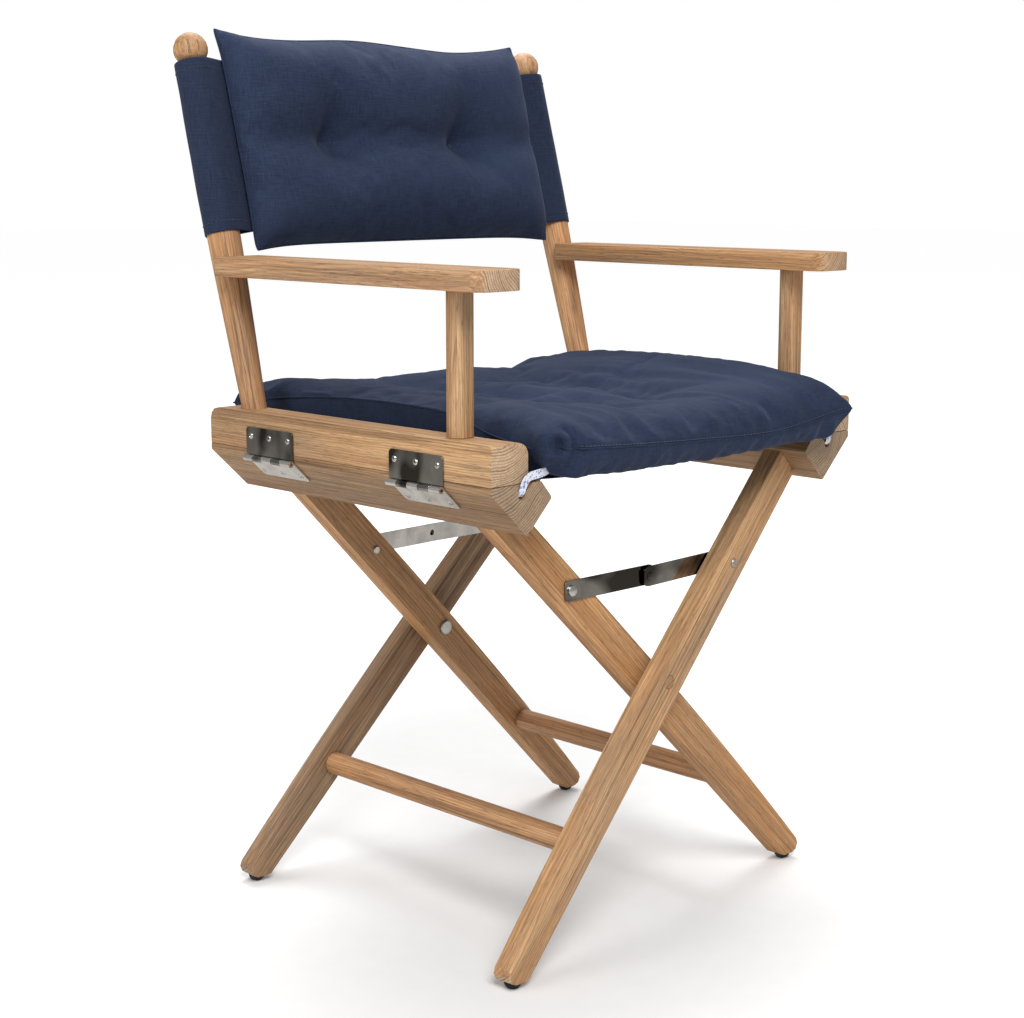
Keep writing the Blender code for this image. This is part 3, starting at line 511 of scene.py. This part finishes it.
class Cushion:
    """A stuffed cushion of two panels sewn together along one seam."""

    def __init__(self, name, columns, rows, shape, cloth):
        """shape(u, v, height, face) gives a point; face is 1 on the upper panel, -1 on the lower."""
        wide, deep = len(columns), len(rows)
        points, self.spots, index = [], [], {}
        for face in (1, -1):
            for i, (u, rise_u) in enumerate(columns):
                for j, (v, rise_v) in enumerate(rows):
                    edge = i in (0, wide - 1) or j in (0, deep - 1)
                    if edge and face < 0:
                        index[i, j, face] = index[i, j, 1]
                        continue
                    index[i, j, face] = len(points)
                    points.append(shape(u, v, rise_u * rise_v, face))
                    self.spots.append((u, v, 0 if edge else face))
        faces = []
        for face in (1, -1):
            for i in range(wide - 1):
                for j in range(deep - 1):
                    ring = [(i, j), (i + 1, j), (i + 1, j + 1), (i, j + 1)]
                    faces.append([index[a, b, face] for a, b in ring[::face]])
        mesh = bpy.data.meshes.new(name)
        mesh.from_pydata([tuple(p) for p in points], [], faces)
        self.obj = add(name, mesh, cloth)
        loop = ([(i, 0) for i in range(wide)] + [(wide - 1, j) for j in range(1, deep)]
                + [(i, deep - 1) for i in range(wide - 2, -1, -1)]
                + [(0, j) for j in range(deep - 2, 0, -1)])
        self.seam = [index[i, j, 1] for i, j in loop]

    def hold(self, weight):
        """weight(u, v, face) says how firmly stuffing and stitching hold a point, 0 to 1."""
        group = self.obj.vertex_groups.new(name="held")
        for k, spot in enumerate(self.spots):
            firm = weight(*spot)
            if firm > 0:
                group.add([k], firm, "REPLACE")

    def inflate(self, slack, cap, pressure=2.4, frames=20):
        """Blows the cushion up as cloth, with slack cloth that wrinkles, and keeps the result.

        slack is the share by which the cloth is larger than the form; no point moves past the cap."""
        scene = bpy.context.scene
        rest = np.array([v.co for v in self.obj.data.vertices])
        cloth = self.obj.modifiers.new("Cloth", "CLOTH")
        cloth.point_cache.frame_end = frames
        settings = cloth.settings
        settings.use_pressure, settings.uniform_pressure_force = True, pressure
        settings.vertex_group_mass = "held"
        settings.effector_weights.gravity = 0
        settings.shrink_min = -slack
        settings.bending_stiffness = 0.08
        settings.tension_stiffness = settings.compression_stiffness = 20
        for number in range(1, frames + 1):
            scene.frame_set(number)
        graph = bpy.context.evaluated_depsgraph_get()
        swollen = self.obj.evaluated_get(graph).to_mesh()
        moved = np.array([v.co for v in swollen.vertices]) - rest
        self.obj.modifiers.remove(cloth)
        scene.frame_set(1)
        length = np.linalg.norm(moved, axis=1, keepdims=True) + 1e-9
        moved *= cap * np.tanh(length / cap) / length
        self.obj.data.vertices.foreach_set("co", (rest + moved).astype(np.float32).ravel())
        self.obj.data.update()

    def shift(self, change):
        """change(u, v, face) gives how far each point is moved."""
        for vertex, spot in zip(self.obj.data.vertices, self.spots):
            vertex.co += change(*spot)
        self.obj.data.update()

    def seam_points(self):
        """The points all round the seam, from the corner at low u and low v."""
        return [self.obj.data.vertices[k].co.copy() for k in self.seam]

    def finish(self):
        """The cover, made finer."""
        fine = self.obj.modifiers.new("Subdivision", "SUBSURF")
        fine.levels = fine.render_levels = 1
        return applied(self.obj)


def hill(value, at, reach):
    """A smooth hill over one value, 1 high, falling to 0 over the reach."""
    return exp(-((value - at) / reach) ** 2)


def near_spot(u, v, spots, reach):
    """1 at the nearest of the spots, falling to 0 over the reach."""
    return max(exp(-((u - a) ** 2 + (v - b) ** 2) / reach ** 2) for a, b in spots)


PUCKER_START = 0.004                    # from the seam to where its gathers have their full depth


def pucker(u, v, reach, pitch, seed):
    """Small gathers, -1 to 1, that run across a seam; u is along it and v away from it."""
    if v > reach:
        return 0.0
    wave = noise.noise(Vector((u / pitch, v / (4 * pitch), seed)))
    return wave * (1 - v / reach) ** 1.5 * min(1.0, v / PUCKER_START)


KNOT_TURNS, KNOT_RISE = (0.35, 1.25, 2.2, 2.9), 0.0012


def knot(at, across, up, out, size):
    """Threads of one tuft: a small cross of stitches pulled tight."""
    paths = []
    for turn in KNOT_TURNS:
        way = across * cos(turn) + up * sin(turn)
        paths.append([at - way * size, at + out * KNOT_RISE, at + way * size])
    return paths


def sling_sag(x, y):
    """How far the sling hangs below its rails: least at its front and rear edges."""
    along = (y - SEAT_MIDDLE_Y) / SEAT_HALF[1]
    return SLING_SAG * max(0.0, 1 - (x / SLING_HALF) ** 2) * max(0.15, 1 - 0.85 * along ** 4)


SEAT_SIDE_RISE = 0.018                  # of the seam, in the middle of the sides
SEAT_RIGHT_DROOP, SEAT_FRONT_DROOP = 0.0125, 0.0070
SEAT_EARS = 0.0035                      # how far the corners stand out
SEAT_FRONT_DROP, SEAT_REAR_DROP, SEAT_REAR_HOLLOW = 0.006, 0.004, 0.023
SEAT_LEFT_SWELL, LOBE_DEEP = 0.009, 0.040


def seat_shape(u, v, height, face):
    """A box cushion that has slumped: it dips in the middle and its front right corner is tucked in."""
    half_u, half_v = SEAT_HALF
    a, b = u / half_u, v / half_v
    left, right, rear, front = max(0.0, a), max(0.0, -a), max(0.0, b), max(0.0, -b)
    dip = SEAT_DIP * (1 - a * a)

    seam = SEAT_SEAM + SEAT_SIDE_RISE * (1 - b * b) * abs(a) ** 4 - 0.002 * abs(a * b) ** 6 - dip
    droop = (1 - 0.8 * hill(b, -1, 0.10)) / (1 + exp((b + 0.49) / 0.05))
    seam -= SEAT_RIGHT_DROOP * right ** 4 * droop
    seam -= SEAT_FRONT_DROOP * hill(a, 0.5, 0.45) * front ** 4

    # The sides are drawn in a little between the corners
    x = u * (1 - 0.020 * (1 - b * b)) + SEAT_EARS * a ** 9 * abs(b) ** 9
    y = SEAT_MIDDLE_Y + v * (1 - 0.016 * (1 - a * a)) + SEAT_EARS * b ** 9 * abs(a) ** 9
    tucked = right ** 8 * front ** 8
    corner = near_spot(u, v, [(-half_u, -half_v)], CORNER_FOLD)
    x, y = x + 0.0035 * tucked + 0.0120 * corner, y + 0.0110 * tucked + 0.0130 * corner
    if face > 0:
        behind = SEAT_REAR_DROP + SEAT_REAR_HOLLOW * hill(a, 0.76, 0.26) - 0.008 * right ** 3
        top = SEAT_TOP + 0.005 * a - dip - behind * rear ** 2 - SEAT_FRONT_DROP * front ** 3
        top += SEAT_LEFT_SWELL * left ** 4 * (1 - rear ** 4 - 2.1 * front ** 3)
        z = seam + (top - seam) * height ** 0.60
        z -= SEAT_TUFT_DEEP * near_spot(u, v, SEAT_TUFTS, SEAT_TUFT_REACH)
    else:
        lobe = (a < 0) * exp(-((u + half_u) / CREASE_IN) ** 4 - ((v + half_v) / LOBE_DEEP) ** 2)
        drop = seam - SEAT_BOTTOM + sling_sag(x, y)
        z = seam - drop * min(1.0, 1.4 * height) ** 0.9 * (1 - 0.6 * lobe)
    return Vector((x, y, z))


SEAT_RIM = 0.035                        # strip along the seam where the lower panel is free to swell


def seat_firmness(u, v, face):
    """The sling holds the lower panel, and the stitching holds the seam and the tufts."""
    inside = max(abs(u) - SEAT_HALF[0] + SEAT_RIM, abs(v) - SEAT_HALF[1] + SEAT_RIM, 0.0) / SEAT_RIM
    if face == 0:
        return 1.0
    if face < 0:
        return 1.0 if inside <= 0 else max(0.0, 0.9 - inside)
    return 1.0 if near_spot(u, v, SEAT_TUFTS, SEAT_TUFT_REACH) > 0.96 else 0.0


GATHER_UNDER, GATHER_OVER, GATHER_SIDE = 0.0085, 0.0034, 0.0018
CREASE_DEEP, LOBE_SWELL = 0.0140, 0.0075
FOLD_HIGH, SMALL_FOLD_HIGH = 0.0040, 0.0020


def seat_gather(u, v, face):
    """Gathers along the front seam, strongest under it, and the fold of the tucked corner."""
    from_front, from_side = v + SEAT_HALF[1], SEAT_HALF[0] - abs(u)
    crease = CREASE_DEEP * (u < 0) * hill(from_side, CREASE_IN, 0.0038) * hill(from_front, 0, 0.022)
    if face == 0:
        return Vector((0, 0.0012 + crease * (from_front < 0.001), 0))
    front = pucker(u, from_front, 0.045, 0.015, 3.0) * (GATHER_UNDER if face < 0 else GATHER_OVER)
    side = pucker(v, from_side, 0.035, 0.030, 9.0 * face) * GATHER_SIDE
    swell = LOBE_SWELL * (u < 0) * hill(from_side, 0, 0.030) * hill(from_front, 0.028, 0.014)
    lift = 0.4 * front * face
    if face > 0:
        lift += seat_folds(u, v) * min(1.0, from_front / 0.03) * min(1.0, from_side / 0.04)
    return Vector((side if u > 0 else -side - swell, crease - front - 0.4 * swell, lift))


def seat_folds(u, v):
    """Soft folds of the slack top cloth, running from the middle towards the front seam."""
    forward = hill(max(0.0, v - 0.02), 0, 0.06)
    ridge = noise.noise(Vector((u / 0.021 + 0.4 * sin(v / 0.07), v / 0.16, 5.0)))
    small = noise.noise(Vector((u / 0.010 + 0.3 * sin(v / 0.05), v / 0.09, 8.0)))
    return (FOLD_HIGH * ridge + SMALL_FOLD_HIGH * small) * (0.30 + 0.70 * forward)


SEAT_STEP, SEAT_RADII_Y, SEAT_RADII_X = 0.0055, (0.040, 0.030), (0.021, 0.021)


def build_seat():
    """The box cushion, with its seam, the stitching along its front and its six tufts."""
    rows = section(SEAT_HALF[1], SEAT_RADII_Y, SEAT_STEP)
    columns = section(SEAT_HALF[0], SEAT_RADII_X, SEAT_STEP)
    seat = Cushion("seat_cushion_cover", columns, rows, seat_shape, CUSHION_CLOTH)
    seat.hold(seat_firmness)
    seat.inflate(slack=0.034, cap=0.009)
    seat.shift(seat_gather)
    loop = seat.seam_points()
    cover = seat.finish()
    seam = threads("seat_cushion_seam", [loop], SEAM_R, CUSHION_CLOTH, cyclic=True)
    wide = len(columns)
    front = [p + Vector((0, -0.0004, 0.0022)) for p in loop[6:wide - 3]]     # a little above the seam
    stitches = threads("seat_front_stitches", dashes(front, 0.0030, 0.0048), STITCH_R, THREAD)
    knots = []
    tree = cover_tree(cover)
    for u, v in SEAT_TUFTS:
        hit = tree.ray_cast(Vector((u, SEAT_MIDDLE_Y + v, 0.6)), Vector((0, 0, -1)))[0]
        knots += knot(hit, Vector((1, 0, 0)), Vector((0, 1, 0)), Vector((0, 0, 1)), 0.0042)
    ties = threads("seat_tuft_threads", knots, 0.0006, THREAD)
    for obj in (cover, seam, stitches, ties):
        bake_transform(obj)
    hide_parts("seat_cushion")
    return cover


def cover_tree(obj):
    """The cover's surface as it is now, to find where a ray meets it."""
    return BVHTree.FromObject(obj, bpy.context.evaluated_depsgraph_get())


# ---------------------------------------------------------------- back

LEAN = Vector((0, BACK_BALL.y - BACK_FOOT.y, BACK_BALL.z - BACK_FOOT.z)).normalized()
FORWARD = Vector((0, -LEAN.z, LEAN.y))


def back_point(x, up, forward=0.0):
    """A point x across the back, up along the posts and forward of their axes."""
    return Vector((x, BACK_FOOT.y, BACK_FOOT.z)) + LEAN * up + FORWARD * forward


def back_sag(x):
    """How far forward of the posts' axes the panel is: it leaves the sleeves' fronts and sags."""
    past = min(1.0, max(0.0, abs(x) / SLEEVE_TAIL - 0.90) / 0.10)
    return -PANEL_SAG * (1 - (x / SLEEVE_TAIL) ** 2) + TAIL_FORWARD * past * past


BACK_TUFTS = [(across, BACK_TUFT_UP) for across in BACK_TUFT_X]
BACK_CORNER_OUT, BACK_CORNER_UP = 0.0040, 0.004
BACK_EDGE_CURL = 0.0065                 # how far forward the seam comes towards the sides


def back_shape(u, v, height, face):
    """A pillow with two tufts in a shallow valley, pulled out at its upper right corner."""
    half_u, half_v = BACK_CUSHION_HALF
    a, b = u / half_u, v / half_v
    blunt = 1 - 0.012 * abs(a * b) ** 30
    x = BACK_CUSHION_X + u * blunt * (1 - 0.012 * (1 - b ** 4))
    x -= BACK_CORNER_OUT * max(0.0, -a) ** 12 * max(0.0, b) ** 9
    up = BACK_CUSHION_UP + v * blunt * (1 - 0.034 * (1 - a ** 6)) + BACK_CORNER_UP * b ** 9 * abs(a) ** 7
    crown = 0.0050 * hill(a, -0.12, 0.33) - 0.0020 * hill(a, 0.55, 0.2)
    up += crown * max(0.0, b) ** 3
    edge = BACK_SEAM_AT + BACK_EDGE_CURL * a ** 6
    if face > 0:
        forward = edge + (BACK_FRONT_AT - edge) * height
        valley = hill(v, BACK_TUFT_UP, BACK_VALLEY_HALF) * (1 - a ** 8)
        forward -= BACK_VALLEY * valley + BACK_TUFT_DEEP * near_spot(u, v, BACK_TUFTS, BACK_TUFT_REACH)
    else:
        rear = BACK_REAR_AT + back_sag(x)
        forward = edge - (edge - rear) * min(1.0, 1.3 * height)
    return back_point(x, up, forward)


def back_firmness(u, v, face):
    """The sling holds the rear panel, and the stitching holds the seam and the tufts."""
    if face == 0:
        return 1.0
    if face < 0:
        return 0.92
    return 1.0 if near_spot(u, v, BACK_TUFTS, BACK_TUFT_REACH) > 0.88 else 0.0


CREASE_ABOVE, CREASE_BELOW = 0.0090, 0.0080
CREASE_SPREAD, CREASE_LEAN = 0.14, 0.75     # wider for each metre up, sideways for each metre down


def back_crease(u, v, face):
    """Folds that run from the tufts: straight up, and down towards the sitter's left."""
    if face <= 0:
        return Vector((0, 0, 0))
    deep = 0.0
    for a, b in BACK_TUFTS:
        across, rise, fall = u - a, max(v - b, 0), max(b - v, 0)
        above = hill(across, 0, 0.009 + CREASE_SPREAD * rise) * exp(-rise / 0.040) * (rise > 0)
        below = hill(across, CREASE_LEAN * fall, 0.0065) * exp(-fall / 0.034) * (fall > 0)
        deep += CREASE_ABOVE * above + CREASE_BELOW * below
    return -FORWARD * deep


BACK_STEP, BACK_RADIUS_X, BACK_RADIUS_UP = 0.0052, 0.045, 0.042


def build_back_cushion():
    """The pillow, with its seam and the threads of its two tufts."""
    columns = section(BACK_CUSHION_HALF[0], (BACK_RADIUS_X, BACK_RADIUS_X), BACK_STEP)
    rows = section(BACK_CUSHION_HALF[1], (BACK_RADIUS_UP, BACK_RADIUS_UP), BACK_STEP)
    pad = Cushion("back_cushion_cover", columns, rows, back_shape, BACK_CLOTH_PAINTED_LIGHTER)
    pad.hold(back_firmness)
    pad.inflate(slack=0.014, cap=0.010)
    pad.shift(back_crease)
    loop = pad.seam_points()
    cover = pad.finish()
    seam = threads("back_cushion_seam", [loop], SEAM_R, BACK_CLOTH_PAINTED_LIGHTER, cyclic=True)
    knots = []
    tree = cover_tree(cover)
    for u, v in BACK_TUFTS:
        start = back_point(BACK_CUSHION_X + u, BACK_CUSHION_UP + v, 0.1)
        hit = tree.ray_cast(start, -FORWARD)[0]
        knots += knot(hit, Vector((1, 0, 0)), LEAN, FORWARD, 0.0048)
    ties = threads("back_tuft_threads", knots, 0.0007, HEM_THREAD)
    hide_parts("back_cushion")
    return [cover, seam, ties]


LAYER_GAP = 0.0007                      # from each of the two layers to the middle of the tail
SLEEVE_ROWS, SLEEVE_COLUMNS = 34, 56


def sleeve_rows(side, heights, columns):
    """Cloth round one back post: from the tail, round the post, and back to the tail."""
    rows = []
    for up in heights:
        axis_x = side * (BACK_FOOT.x + (BACK_BALL.x - BACK_FOOT.x) * up / POST_RUN)
        tail = axis_x - side * SLEEVE_TAIL
        row = []
        for k in range(columns + 1):
            turn = pi * (2 * k / columns - 1)       # 0 on the outer side of the post
            lap = max(0.0, (abs(turn) - SLEEVE_LAP) / (pi - SLEEVE_LAP))
            out, fore = SLEEVE_R * cos(turn), SLEEVE_R * sin(turn)
            out += (-abs(tail) - out) * lap ** 1.3
            fore += (TAIL_FORWARD - fore) * lap ** 1.2
            crease = noise.noise(Vector((7 * side + 2.2 * turn, up * 26 + turn * 1.1, 4.0)))
            grow = 1 + 0.045 * max(0.0, crease) * (1 - lap)
            apart = (LAYER_GAP if turn > 0 else -LAYER_GAP) * lap
            row.append(back_point(axis_x + side * out * grow, up, fore * grow + apart))
        rows.append(row)
    return rows


def build_sleeve(name, side):
    """The sleeve of one post, from hem to hem."""
    low, high = BACK_SLING
    heights = [low + (high - low) * k / SLEEVE_ROWS for k in range(SLEEVE_ROWS + 1)]
    rows = sleeve_rows(side, heights, SLEEVE_COLUMNS)
    obj = cloth_layer(lattice(f"back_sling_sleeve_{name}", rows, SLING_CLOTH), SLEEVE_T)
    stitches = [path for row in (rows[2], rows[-3]) for path in dashes(hem_line(row))]
    hems = [threads(f"back_sleeve_hem_{name}", stitches, STITCH_R, HEM_THREAD)]
    for part in (obj, *hems):
        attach(part, f"arm_{name}")
    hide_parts(f"back_sleeve_{name}")


def hem_line(row):
    """The row moved out to the face of the cloth, for its hem stitches."""
    middle = sum(row, Vector()) / len(row)
    return [p + (p - middle).normalized() * SLEEVE_HEM_LIFT for p in row[5:-5]]


def build_back_panel():
    """The flat part of the back sling, between the sleeves' tails."""
    low, high = BACK_SLING
    columns, levels = 60, 26
    rows = []
    for j in range(levels + 1):
        up = low + (high - low) * j / levels
        row = []
        for i in range(columns + 1):
            x = SLEEVE_TAIL * (2 * i / columns - 1) * 0.997
            ripple = PANEL_RIPPLE * noise.noise(Vector((x * 20, up * 45, 1.0)))
            row.append(back_point(x, up, back_sag(x) + ripple))
        rows.append(row)
    panel = cloth_layer(lattice("back_sling_cloth", rows, SLING_CLOTH))
    lines = []
    for j in (1, levels - 1):
        for lift in (HEM_LIFT, -HEM_LIFT):
            lines += dashes([p + FORWARD * lift for p in rows[j]])
    hem = threads("back_sling_hem_stitches", lines, STITCH_R, HEM_THREAD)
    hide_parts("back_sling_panel")
    return [panel, hem]


def build_back():
    """Sleeves that follow their posts; the rest rides the left arm and closes up with the fold."""
    for name, side in SIDES.items():
        build_sleeve(name, side)
    for part in build_back_panel() + build_back_cushion():
        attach(part, "arm_left")
        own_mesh(part)


# ---------------------------------------------------------------- seat sling and tapes

def build_seat_sling():
    """The canvas under the cushion, from slot to slot."""
    low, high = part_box("seat_sling")
    columns, levels = 48, 40
    rows = []
    for j in range(levels + 1):
        y = low.y + (high.y - low.y) * j / levels
        rows.append([Vector((x, y, seat_sling_height(x, y))) for x in
                     (SLING_HALF * (2 * i / columns - 1) for i in range(columns + 1))])
    sling = cloth_layer(lattice("seat_sling_cloth", rows, SLING_CLOTH), levels=0)
    lines = []
    for j in (1, levels - 1):
        lines += dashes([p - Vector((0, 0, HEM_LIFT)) for p in rows[j]])
    hem = threads("seat_sling_hem_stitches", lines, STITCH_R, HEM_THREAD)
    for part in (sling, hem):
        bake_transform(part)
    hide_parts("seat_sling")


def seat_sling_height(x, y):
    """Level over the seat, with its edges turned down into the rails' slots."""
    past = max(0.0, abs(x) - SLOT_AT)
    return SLING_Z - sling_sag(x, y) - 0.30 * past


TAPE_HALF = 0.0041
# The left tape's way out of its bore, over the rail and under the cushion: x, z, and y from the middle
# of its node; the right one is its mirror image
TAPE_ROUTE = [(0.2283, 0.4640, 0.0036), (0.2284, 0.4670, 0.0006), (0.2284, 0.4710, -0.0008),
              (0.2276, 0.4752, -0.0012), (0.2252, 0.4788, -0.0010), (0.2212, 0.4812, -0.0006),
              (0.2165, 0.4822, 0.0000), (0.2110, 0.4828, -0.0004), (0.2055, 0.4834, -0.0008),
              (0.2005, 0.4844, -0.0008), (0.1960, 0.4858, -0.0004)]


def build_tapes():
    """A strip of woven tape out of each lower rail's bore."""
    for name, side in SIDES.items():
        low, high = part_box(f"webbing_tab_{name}")
        middle = (low.y + high.y) / 2
        route = [Vector((side * x, middle + y, z)) for x, z, y in TAPE_ROUTE]
        rows = []
        for k, at in enumerate(route):
            ahead = route[min(k + 1, len(route) - 1)] - route[max(k - 1, 0)]
            across = Vector((0, 1, 0)).cross(ahead).normalized()
            rows.append([at + across * TAPE_HALF * (t / 3 - 1) * (0.8 if k == 0 else 1.0)
                         + Vector((0, 0.0003 * sin(2.4 * t + k), 0)) for t in range(7)])
        tab = cloth_layer(lattice(f"woven_tape_{name}", rows, TAPE), TAPE_T, 2)
        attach(tab, f"frame_{name}")
        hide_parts(f"webbing_tab_{name}")


# ---------------------------------------------------------------- hinge screws

SCREW_R, SCREW_DOME, SCREW_FLANK = 0.0031, 0.0009, 0.0004
SCREW_STEP = 0.0285                     # between neighbouring screws of a leaf
CROSS_TOP, CROSS_FOOT, CROSS_SLOT = 0.0040, 0.0022, 0.0009
CROSS_TALL, CROSS_LIFT = 0.0020, 0.0008
UPPER_SCREW = (0.26735, 0.4895)         # x and z, on the outer face of the upper leaf
HINGE_LINE = (0.2655, 0.4695)           # x and z where the lower leaf starts
SLOPE_OUT, SLOPE_DOWN = 0.6863, 0.7273  # of the lower leaf's outward normal
LOWER_SCREW_RUN, LEAF_T = 0.0215, 0.0018


def screw_mesh():
    """Head of a cross-head screw: a low dome with a tapered cross cut into it."""
    mesh = bpy.data.meshes.new("screw_head")
    build = bmesh.new()
    profile = [(SCREW_R * sin(pi / 2 * k / 6), SCREW_DOME * cos(pi / 2 * k / 6)) for k in range(7)]
    points = [Vector((r, 0, z)) for r, z in profile]
    points += [Vector((SCREW_R, 0, -SCREW_FLANK)), Vector((0, 0, -SCREW_FLANK))]
    ring = [build.verts.new(p) for p in points]
    edges = [build.edges.new(pair) for pair in zip(ring, ring[1:])]
    bmesh.ops.spin(build, geom=ring + edges, cent=(0, 0, 0), axis=(0, 0, 1), angle=2 * pi, steps=32,
                   use_merge=True)
    bmesh.ops.remove_doubles(build, verts=build.verts, dist=WELD)
    bmesh.ops.recalc_face_normals(build, faces=build.faces)
    build.to_mesh(mesh)
    build.free()
    head = add("screw_head_blank", mesh, BRIGHT)
    cutters = []
    for turn in (0, pi / 2):
        build = bmesh.new()
        bmesh.ops.create_cube(build, size=1)
        for v in build.verts:
            wide = CROSS_TOP if v.co.z > 0 else CROSS_FOOT
            v.co = Vector((v.co.x * wide, v.co.y * CROSS_SLOT, v.co.z * CROSS_TALL + CROSS_LIFT))
        bmesh.ops.rotate(build, verts=build.verts, cent=(0, 0, 0), matrix=Matrix.Rotation(turn, 3, "Z"))
        blade = bpy.data.meshes.new("blade")
        build.to_mesh(blade)
        build.free()
        cutters.append(add("blade", blade, BRIGHT))
        cut = head.modifiers.new("Cross", "BOOLEAN")
        cut.operation, cut.object = "DIFFERENCE", cutters[-1]
    result = applied(head).data
    result.set_sharp_from_angle(angle=radians(35))
    for obj in (head, *cutters):
        bpy.data.objects.remove(obj)
    return result


def leaf_normal(leaf, side):
    """The way a leaf's outer face looks."""
    if leaf == "upper":
        return Vector((side, 0, 0))
    return Vector((side * SLOPE_OUT, 0, -SLOPE_DOWN))


def screw_place(leaf, side, y):
    """Where a screw's head sits on the outer face of its leaf."""
    if leaf == "upper":
        return Vector((side * UPPER_SCREW[0], y, UPPER_SCREW[1]))
    down = Vector((-side * SLOPE_DOWN, 0, -SLOPE_OUT))
    start = Vector((side * HINGE_LINE[0], y, HINGE_LINE[1]))
    return start + down * LOWER_SCREW_RUN + leaf_normal(leaf, side) * LEAF_T


def build_screws():
    """Three screws in each leaf of the four hinges, each turned its own way."""
    mesh = screw_mesh()
    mesh.materials.clear()
    mesh.materials.append(BRIGHT)
    for side_name, side in SIDES.items():
        for end in ENDS:
            for leaf, body in (("upper", "arm"), ("lower", "frame")):
                low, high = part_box(f"hinge_{leaf}_leaf_{side_name}_{end}")
                upright = Vector((0, 0, 1)).rotation_difference(leaf_normal(leaf, side))
                for number, step in enumerate((-1, 0, 1)):
                    place = screw_place(leaf, side, (low.y + high.y) / 2 + step * SCREW_STEP)
                    obj = bpy.data.objects.new(f"hinge_screw_{leaf}_{side_name}_{end}_{number + 1}", mesh)
                    bpy.context.scene.collection.objects.link(obj)
                    spin = Matrix.Rotation(0.6 + 1.1 * number + 0.7 * side, 4, "Z")
                    obj.matrix_world = Matrix.Translation(place) @ upright.to_matrix().to_4x4() @ spin
                    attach(obj, f"{body}_{side_name}")


# ---------------------------------------------------------------- studio

def build_studio():
    """Camera, pale floor and soft lamps."""
    scene = bpy.context.scene
    scene.view_settings.view_transform = "Standard"
    data = bpy.data.cameras.new("camera")
    data.sensor_width, data.lens = SENSOR, LENS
    camera = bpy.data.objects.new("camera", data)
    scene.collection.objects.link(camera)
    camera.location = CAMERA_AT
    aim = Vector(CAMERA_TO) - Vector(CAMERA_AT)
    camera.rotation_euler = aim.to_track_quat("-Z", "Y").to_euler()
    scene.camera = camera

    look = Shading("studio_floor", Roughness=0.9, Specular_IOR_Level=0.1)
    paper = look.noise(look.place, (40, 40, 40), 3.0)
    away = look.vector("LENGTH", look.place)
    seen = look.node("LightPath").outputs["Is Camera Ray"]
    paleness = look.math("MULTIPLY", seen, look.span(away, *FLOOR_GLOW))
    glow = look.node("Emission", {"Color": (1, 1, 1, 1), "Strength": paleness})
    pale = look.mix(paper, *FLOOR_TONES)
    mirrored = look.node("LightPath").outputs["Is Glossy Ray"]
    material = look.finish(look.mix(mirrored, pale, FLOOR_MIRRORED))
    both = look.node("AddShader", {0: look.shader.outputs[0], 1: glow.outputs[0]})
    look.tree.links.new(both.outputs[0], look.tree.nodes["Material Output"].inputs["Surface"])
    ends = (-FLOOR_HALF, FLOOR_HALF)
    floor = lattice("studio_floor", [[(x, y, 0.0) for x in ends] for y in ends], material)

    world = bpy.data.worlds.new("studio")
    world.use_nodes = True
    sky = world.node_tree
    background = sky.nodes["Background"]
    background.inputs["Color"].default_value = (1.0, 1.0, 1.0, 1.0)
    seen = sky.nodes.new("ShaderNodeLightPath")
    strength = sky.nodes.new("ShaderNodeMapRange")
    strength.inputs["To Min"].default_value, strength.inputs["To Max"].default_value = FILL, 1.0
    sky.links.new(seen.outputs["Is Camera Ray"], strength.inputs["Value"])
    sky.links.new(strength.outputs[0], background.inputs["Strength"])
    scene.world = world
    for name, at, size, power in LAMPS:
        lamp = bpy.data.lights.new(name, "AREA")
        lamp.energy, lamp.size = power, size
        light = bpy.data.objects.new(name, lamp)
        scene.collection.objects.link(light)
        light.location = at
        light.rotation_euler = (Vector(LAMPS_AIM) - Vector(at)).to_track_quat("-Z", "Y").to_euler()


dress_nodes()
build_seat_sling()
build_seat()
build_back()
build_tapes()
build_screws()
build_studio()
